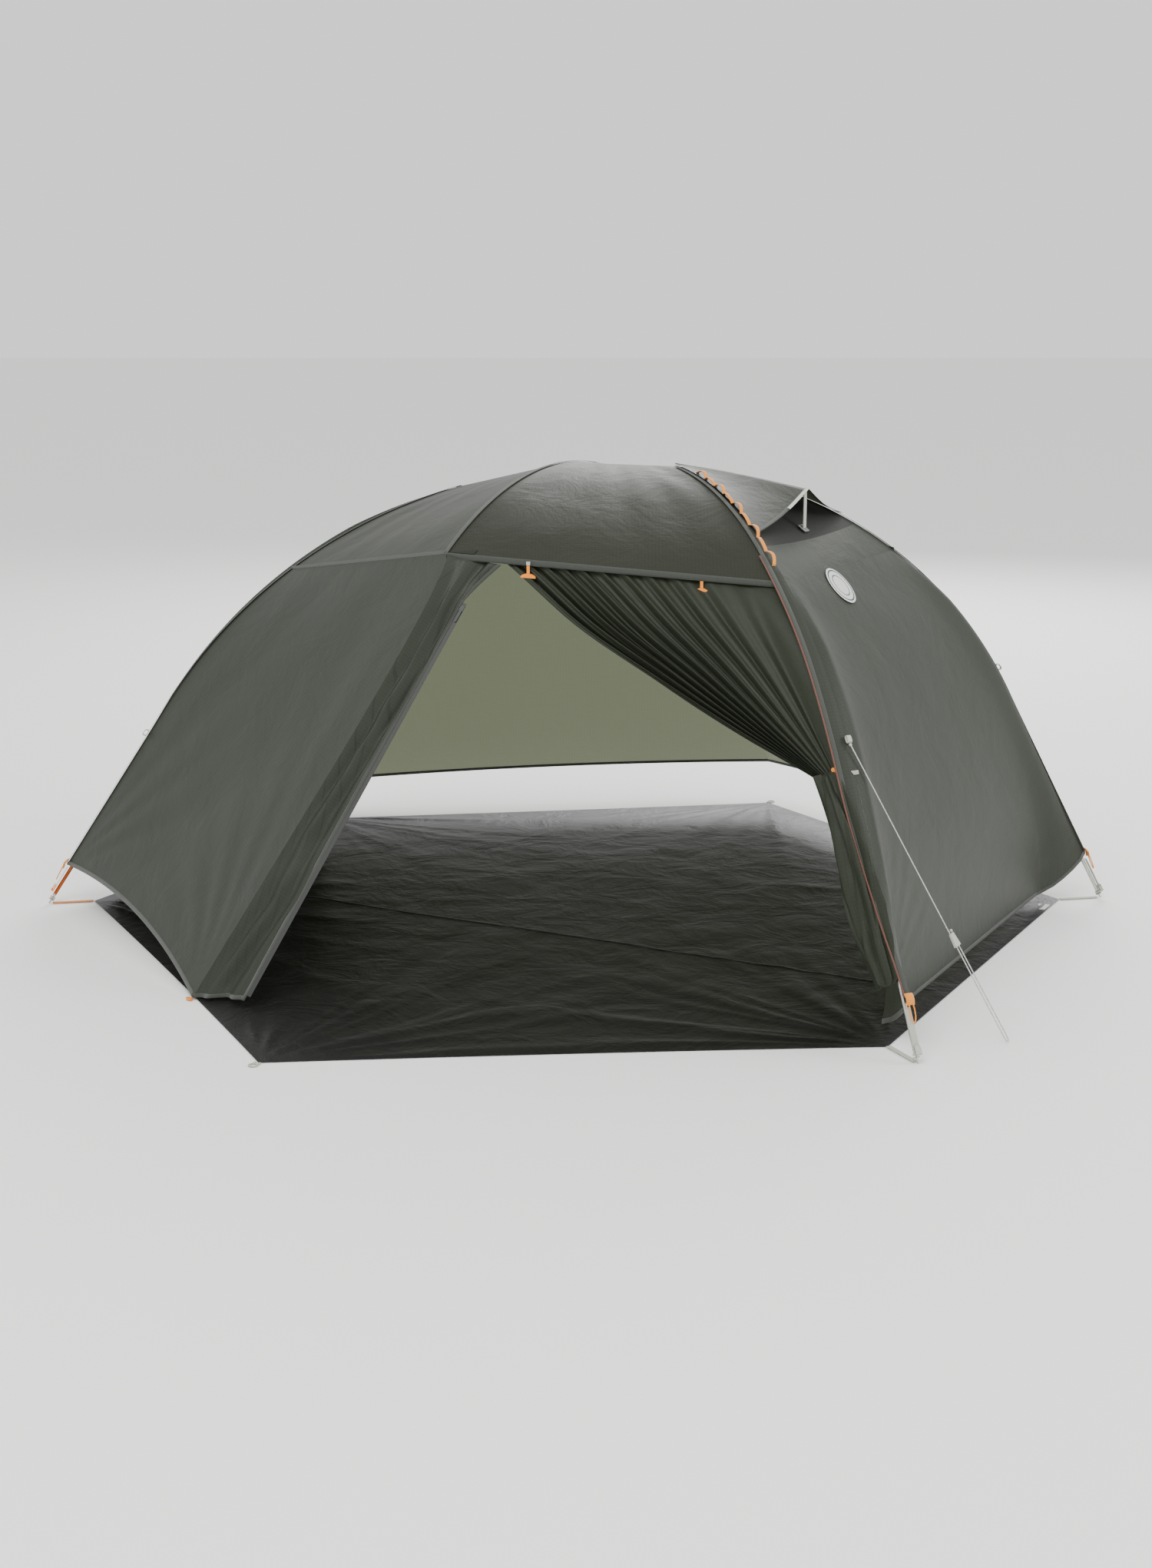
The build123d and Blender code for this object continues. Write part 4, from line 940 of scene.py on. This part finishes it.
tabs, loops = bmesh.new(), bmesh.new()
for name, leg in legs.items():
    down = (leg["at"](leg["corner"] + 0.05) - leg["at"](leg["corner"])).normalized()
    side, out = Vector((leg["way"].y, -leg["way"].x, 0)), leg["out"](leg["corner"])
    start = leg["at"](leg["corner"]) + out * 0.003 - down * 0.012
    tab_line = lambda v, start=start, down=down, out=out: start + down * 0.026 * v + out * 0.004 * sin(pi * v)
    lay_tape(tabs, tab_line, lambda v, side=side: side, 0.020, lambda v, out=out: out, 12, thickness=0.002)

    def loop_path(v, start=start, down=down, side=side, out=out):
        turn = 2 * pi * v
        return (start + down * (0.040 - 0.022 * cos(turn)) + side * (0.006 * sin(turn))
                + out * (0.002 + 0.002 * cos(turn)))
    lay_tube(loops, loop_path, 0.0014, 48, out)
corner_tabs = make_piece("corner_tabs", tabs, orange_webbing)
tab_folds = corner_tabs.modifiers.new("folded webbing", "SOLIDIFY")
tab_folds.thickness, tab_folds.offset = 0.0030, -1.0
make_piece("corner_cord_loops", loops, orange_webbing)

# %% [markdown]
# The vent hood's free edge is bound, and its front half has a pale stiffener beside the
# tip. The badge is a plain disc with two thin printed rings.

# %% Hood edge and badge
work = bmesh.new()
hood_edge = lambda v: hood_surface(v, 0.985) + Vector((0, 0, 0.001))
hood_up = lambda v: Vector((0.3, 0, 1))
lay_tape(work, hood_edge, lambda v: hood_surface(v, 1.0) - hood_surface(v, 0.95), 0.010, hood_up, 60)
hood_binding = make_piece("hood_binding", work, binding_tape)
work = bmesh.new()
stiff_edge = lambda v: hood_surface(0.30 + 0.20 * v, 0.99) + Vector((0.001, 0, 0.0026))
lay_tape(work, stiff_edge, lambda v: hood_surface(0.4, 1.0) - hood_surface(0.4, 0.95), 0.009,
         hood_up, 20, thickness=0.0012)
hood_stiffener = make_piece("hood_stiffener", work, white_webbing)
net_top, net_left, net_right = net_surface(0.5, 0), net_surface(0, net_share), net_surface(1, net_share)
hood_fold_way = (net_left - net_top).cross(net_right - net_top).normalized()
hood_fold_way = hood_fold_way if hood_fold_way.z > 0 else -hood_fold_way
net_rise = max((net_surface(0, net_share * i / 20) - net_top).dot(hood_fold_way) for i in range(21))
for folded in (hood, hood_binding, hood_stiffener):
    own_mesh(folded)
    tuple(hood_fold_way)

badge_low, badge_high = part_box("badge")
badge_centre = (Vector(badge_low) + Vector(badge_high)) / 2
head_rear_leg = legs["head_rear"]
wall_fall = head_rear_leg["at"](head_rear_leg["band"] + 0.2) - head_rear_leg["at"](head_rear_leg["band"])
badge_out = Vector((-wall_fall.z, 0, wall_fall.x)).normalized()
work = bmesh.new()
bmesh.ops.create_circle(work, cap_ends=True, segments=64, radius=0.050)
for width, depth, printed in ((0.005, 0.0006, 0), (0.004, 0.0, 1), (0.011, 0.0, 0), (0.003, 0.0, 1)):
    middle = max(work.faces, key=lambda face: len(face.verts))
    for face in bmesh.ops.inset_region(work, faces=[middle], thickness=width, depth=depth,
                                       use_boundary=True, use_even_offset=True)["faces"]:
        face.material_index = printed
turn = Vector((0, 0, 1)).rotation_difference(badge_out).to_matrix().to_4x4()
badge_place = Matrix.Translation(badge_centre + badge_out * 0.001)
bmesh.ops.transform(work, matrix=badge_place @ turn, verts=work.verts)
badge_ring = hard_finish("printed_border_slate", "#3d4a52", 0.0, 0.55, 500, 0.0001, worn="#36424a")
badge_disc = make_piece("badge_disc", work, label_print, replaces=["badge"])
badge_disc.data.materials.append(badge_ring)
print("badge at", [round(v, 3) for v in badge_centre])

# %% [markdown]
# The daisy chain is narrow orange webbing that is sewn down every few centimetres and
# stands up in small loops between. The footprint is cut from two widths of cloth, with
# one seam that runs from end to end.

# %% Daisy chain and footprint seam
CHAIN_LOOPS, CHAIN_START, CHAIN_END = 9, 0.10, 0.56
chain_side = Vector((head_leg["way"].y, -head_leg["way"].x, 0))


def chain_line(v):
    turn = v * CHAIN_LOOPS
    loop_height = 0.0115 * abs(sin(pi * turn)) ** 0.7
    sway = 0.0045 * sin(pi * turn)
    return (head_leg["at"](CHAIN_START + (CHAIN_END - CHAIN_START) * v, FLY_LIFT + 0.003 + loop_height)
            - chain_side * (0.012 + sway))


work = bmesh.new()
lay_tape(work, chain_line, lambda v: chain_side, 0.0085, lambda v: head_leg["out"](CHAIN_START), 200)
chain = make_piece("daisy_chain_loops", work, orange_webbing, replaces=["daisy_chain"])
chain_solid = chain.modifiers.new("webbing", "SOLIDIFY")
chain_solid.thickness, chain_solid.offset = 0.0012, -1.0

FLOOR_SEAM_Y, SEAM_REACH = -0.25, 1.09
work = bmesh.new()
seam_line = lambda v: Vector(((2 * v - 1) * SEAM_REACH, FLOOR_SEAM_Y,
                              0.0020 + wrinkle_height((2 * v - 1) * SEAM_REACH, FLOOR_SEAM_Y)))
lay_tape(work, seam_line, lambda v: Vector((0, 1, 0)), 0.012, lambda v: Vector((0, 0, 1)), 120)
make_piece("footprint_seam", work, floor_black)


# %% [markdown]
# The floor is plain and pale, and the light is a soft box above and in front with a
# slightly stronger one behind, so that the thin cloth glows a little, and a weak one at
# the side.

# %% Floor and light
work = bmesh.new()
bmesh.ops.create_grid(work, x_segments=1, y_segments=1, size=120)
floor_mesh = bpy.data.meshes.new("studio_floor")
work.to_mesh(floor_mesh)
work.free()
studio_floor = bpy.data.objects.new("studio_floor", floor_mesh)
floor_mesh.transform(Matrix.Translation((0, 0, -0.001)))
bpy.context.scene.collection.objects.link(studio_floor)
floor_paint, tree, output = new_finish("studio_floor_paint")
paint = add_node(tree, "BsdfPrincipled", {"Base Color": colour("#f4f4f2"), "Roughness": 0.9})
tree.links.new(paint.outputs["BSDF"], output.inputs["Surface"])
floor_mesh.materials.append(floor_paint)


def soft_box(name, place, target, size, power):
    lamp = bpy.data.lights.new(name, "AREA")
    lamp.shape, lamp.size, lamp.energy = "DISK", size, power
    box = bpy.data.objects.new(name, lamp)
    box.location = place
    box.rotation_mode = "QUATERNION"
    box.rotation_quaternion = (Vector(target) - Vector(place)).to_track_quat("-Z", "Y")
    bpy.context.scene.collection.objects.link(box)


soft_box("key_light", (1.0, -4.5, 5.5), (0, 0, 0.5), 4.0, 300)
soft_box("side_light", (6.0, 1.5, 3.5), (0.5, 0, 0.5), 3.0, 140)
soft_box("back_light", (-1.5, 6.0, 4.0), (0, 0.5, 0.5), 4.0, 350)
world = bpy.data.worlds.new("studio")
bpy.context.scene.world = world
world.use_nodes = True
world.node_tree.nodes["Background"].inputs["Color"].default_value = (1, 1, 1, 1)
world.node_tree.nodes["Background"].inputs["Strength"].default_value = 1.15
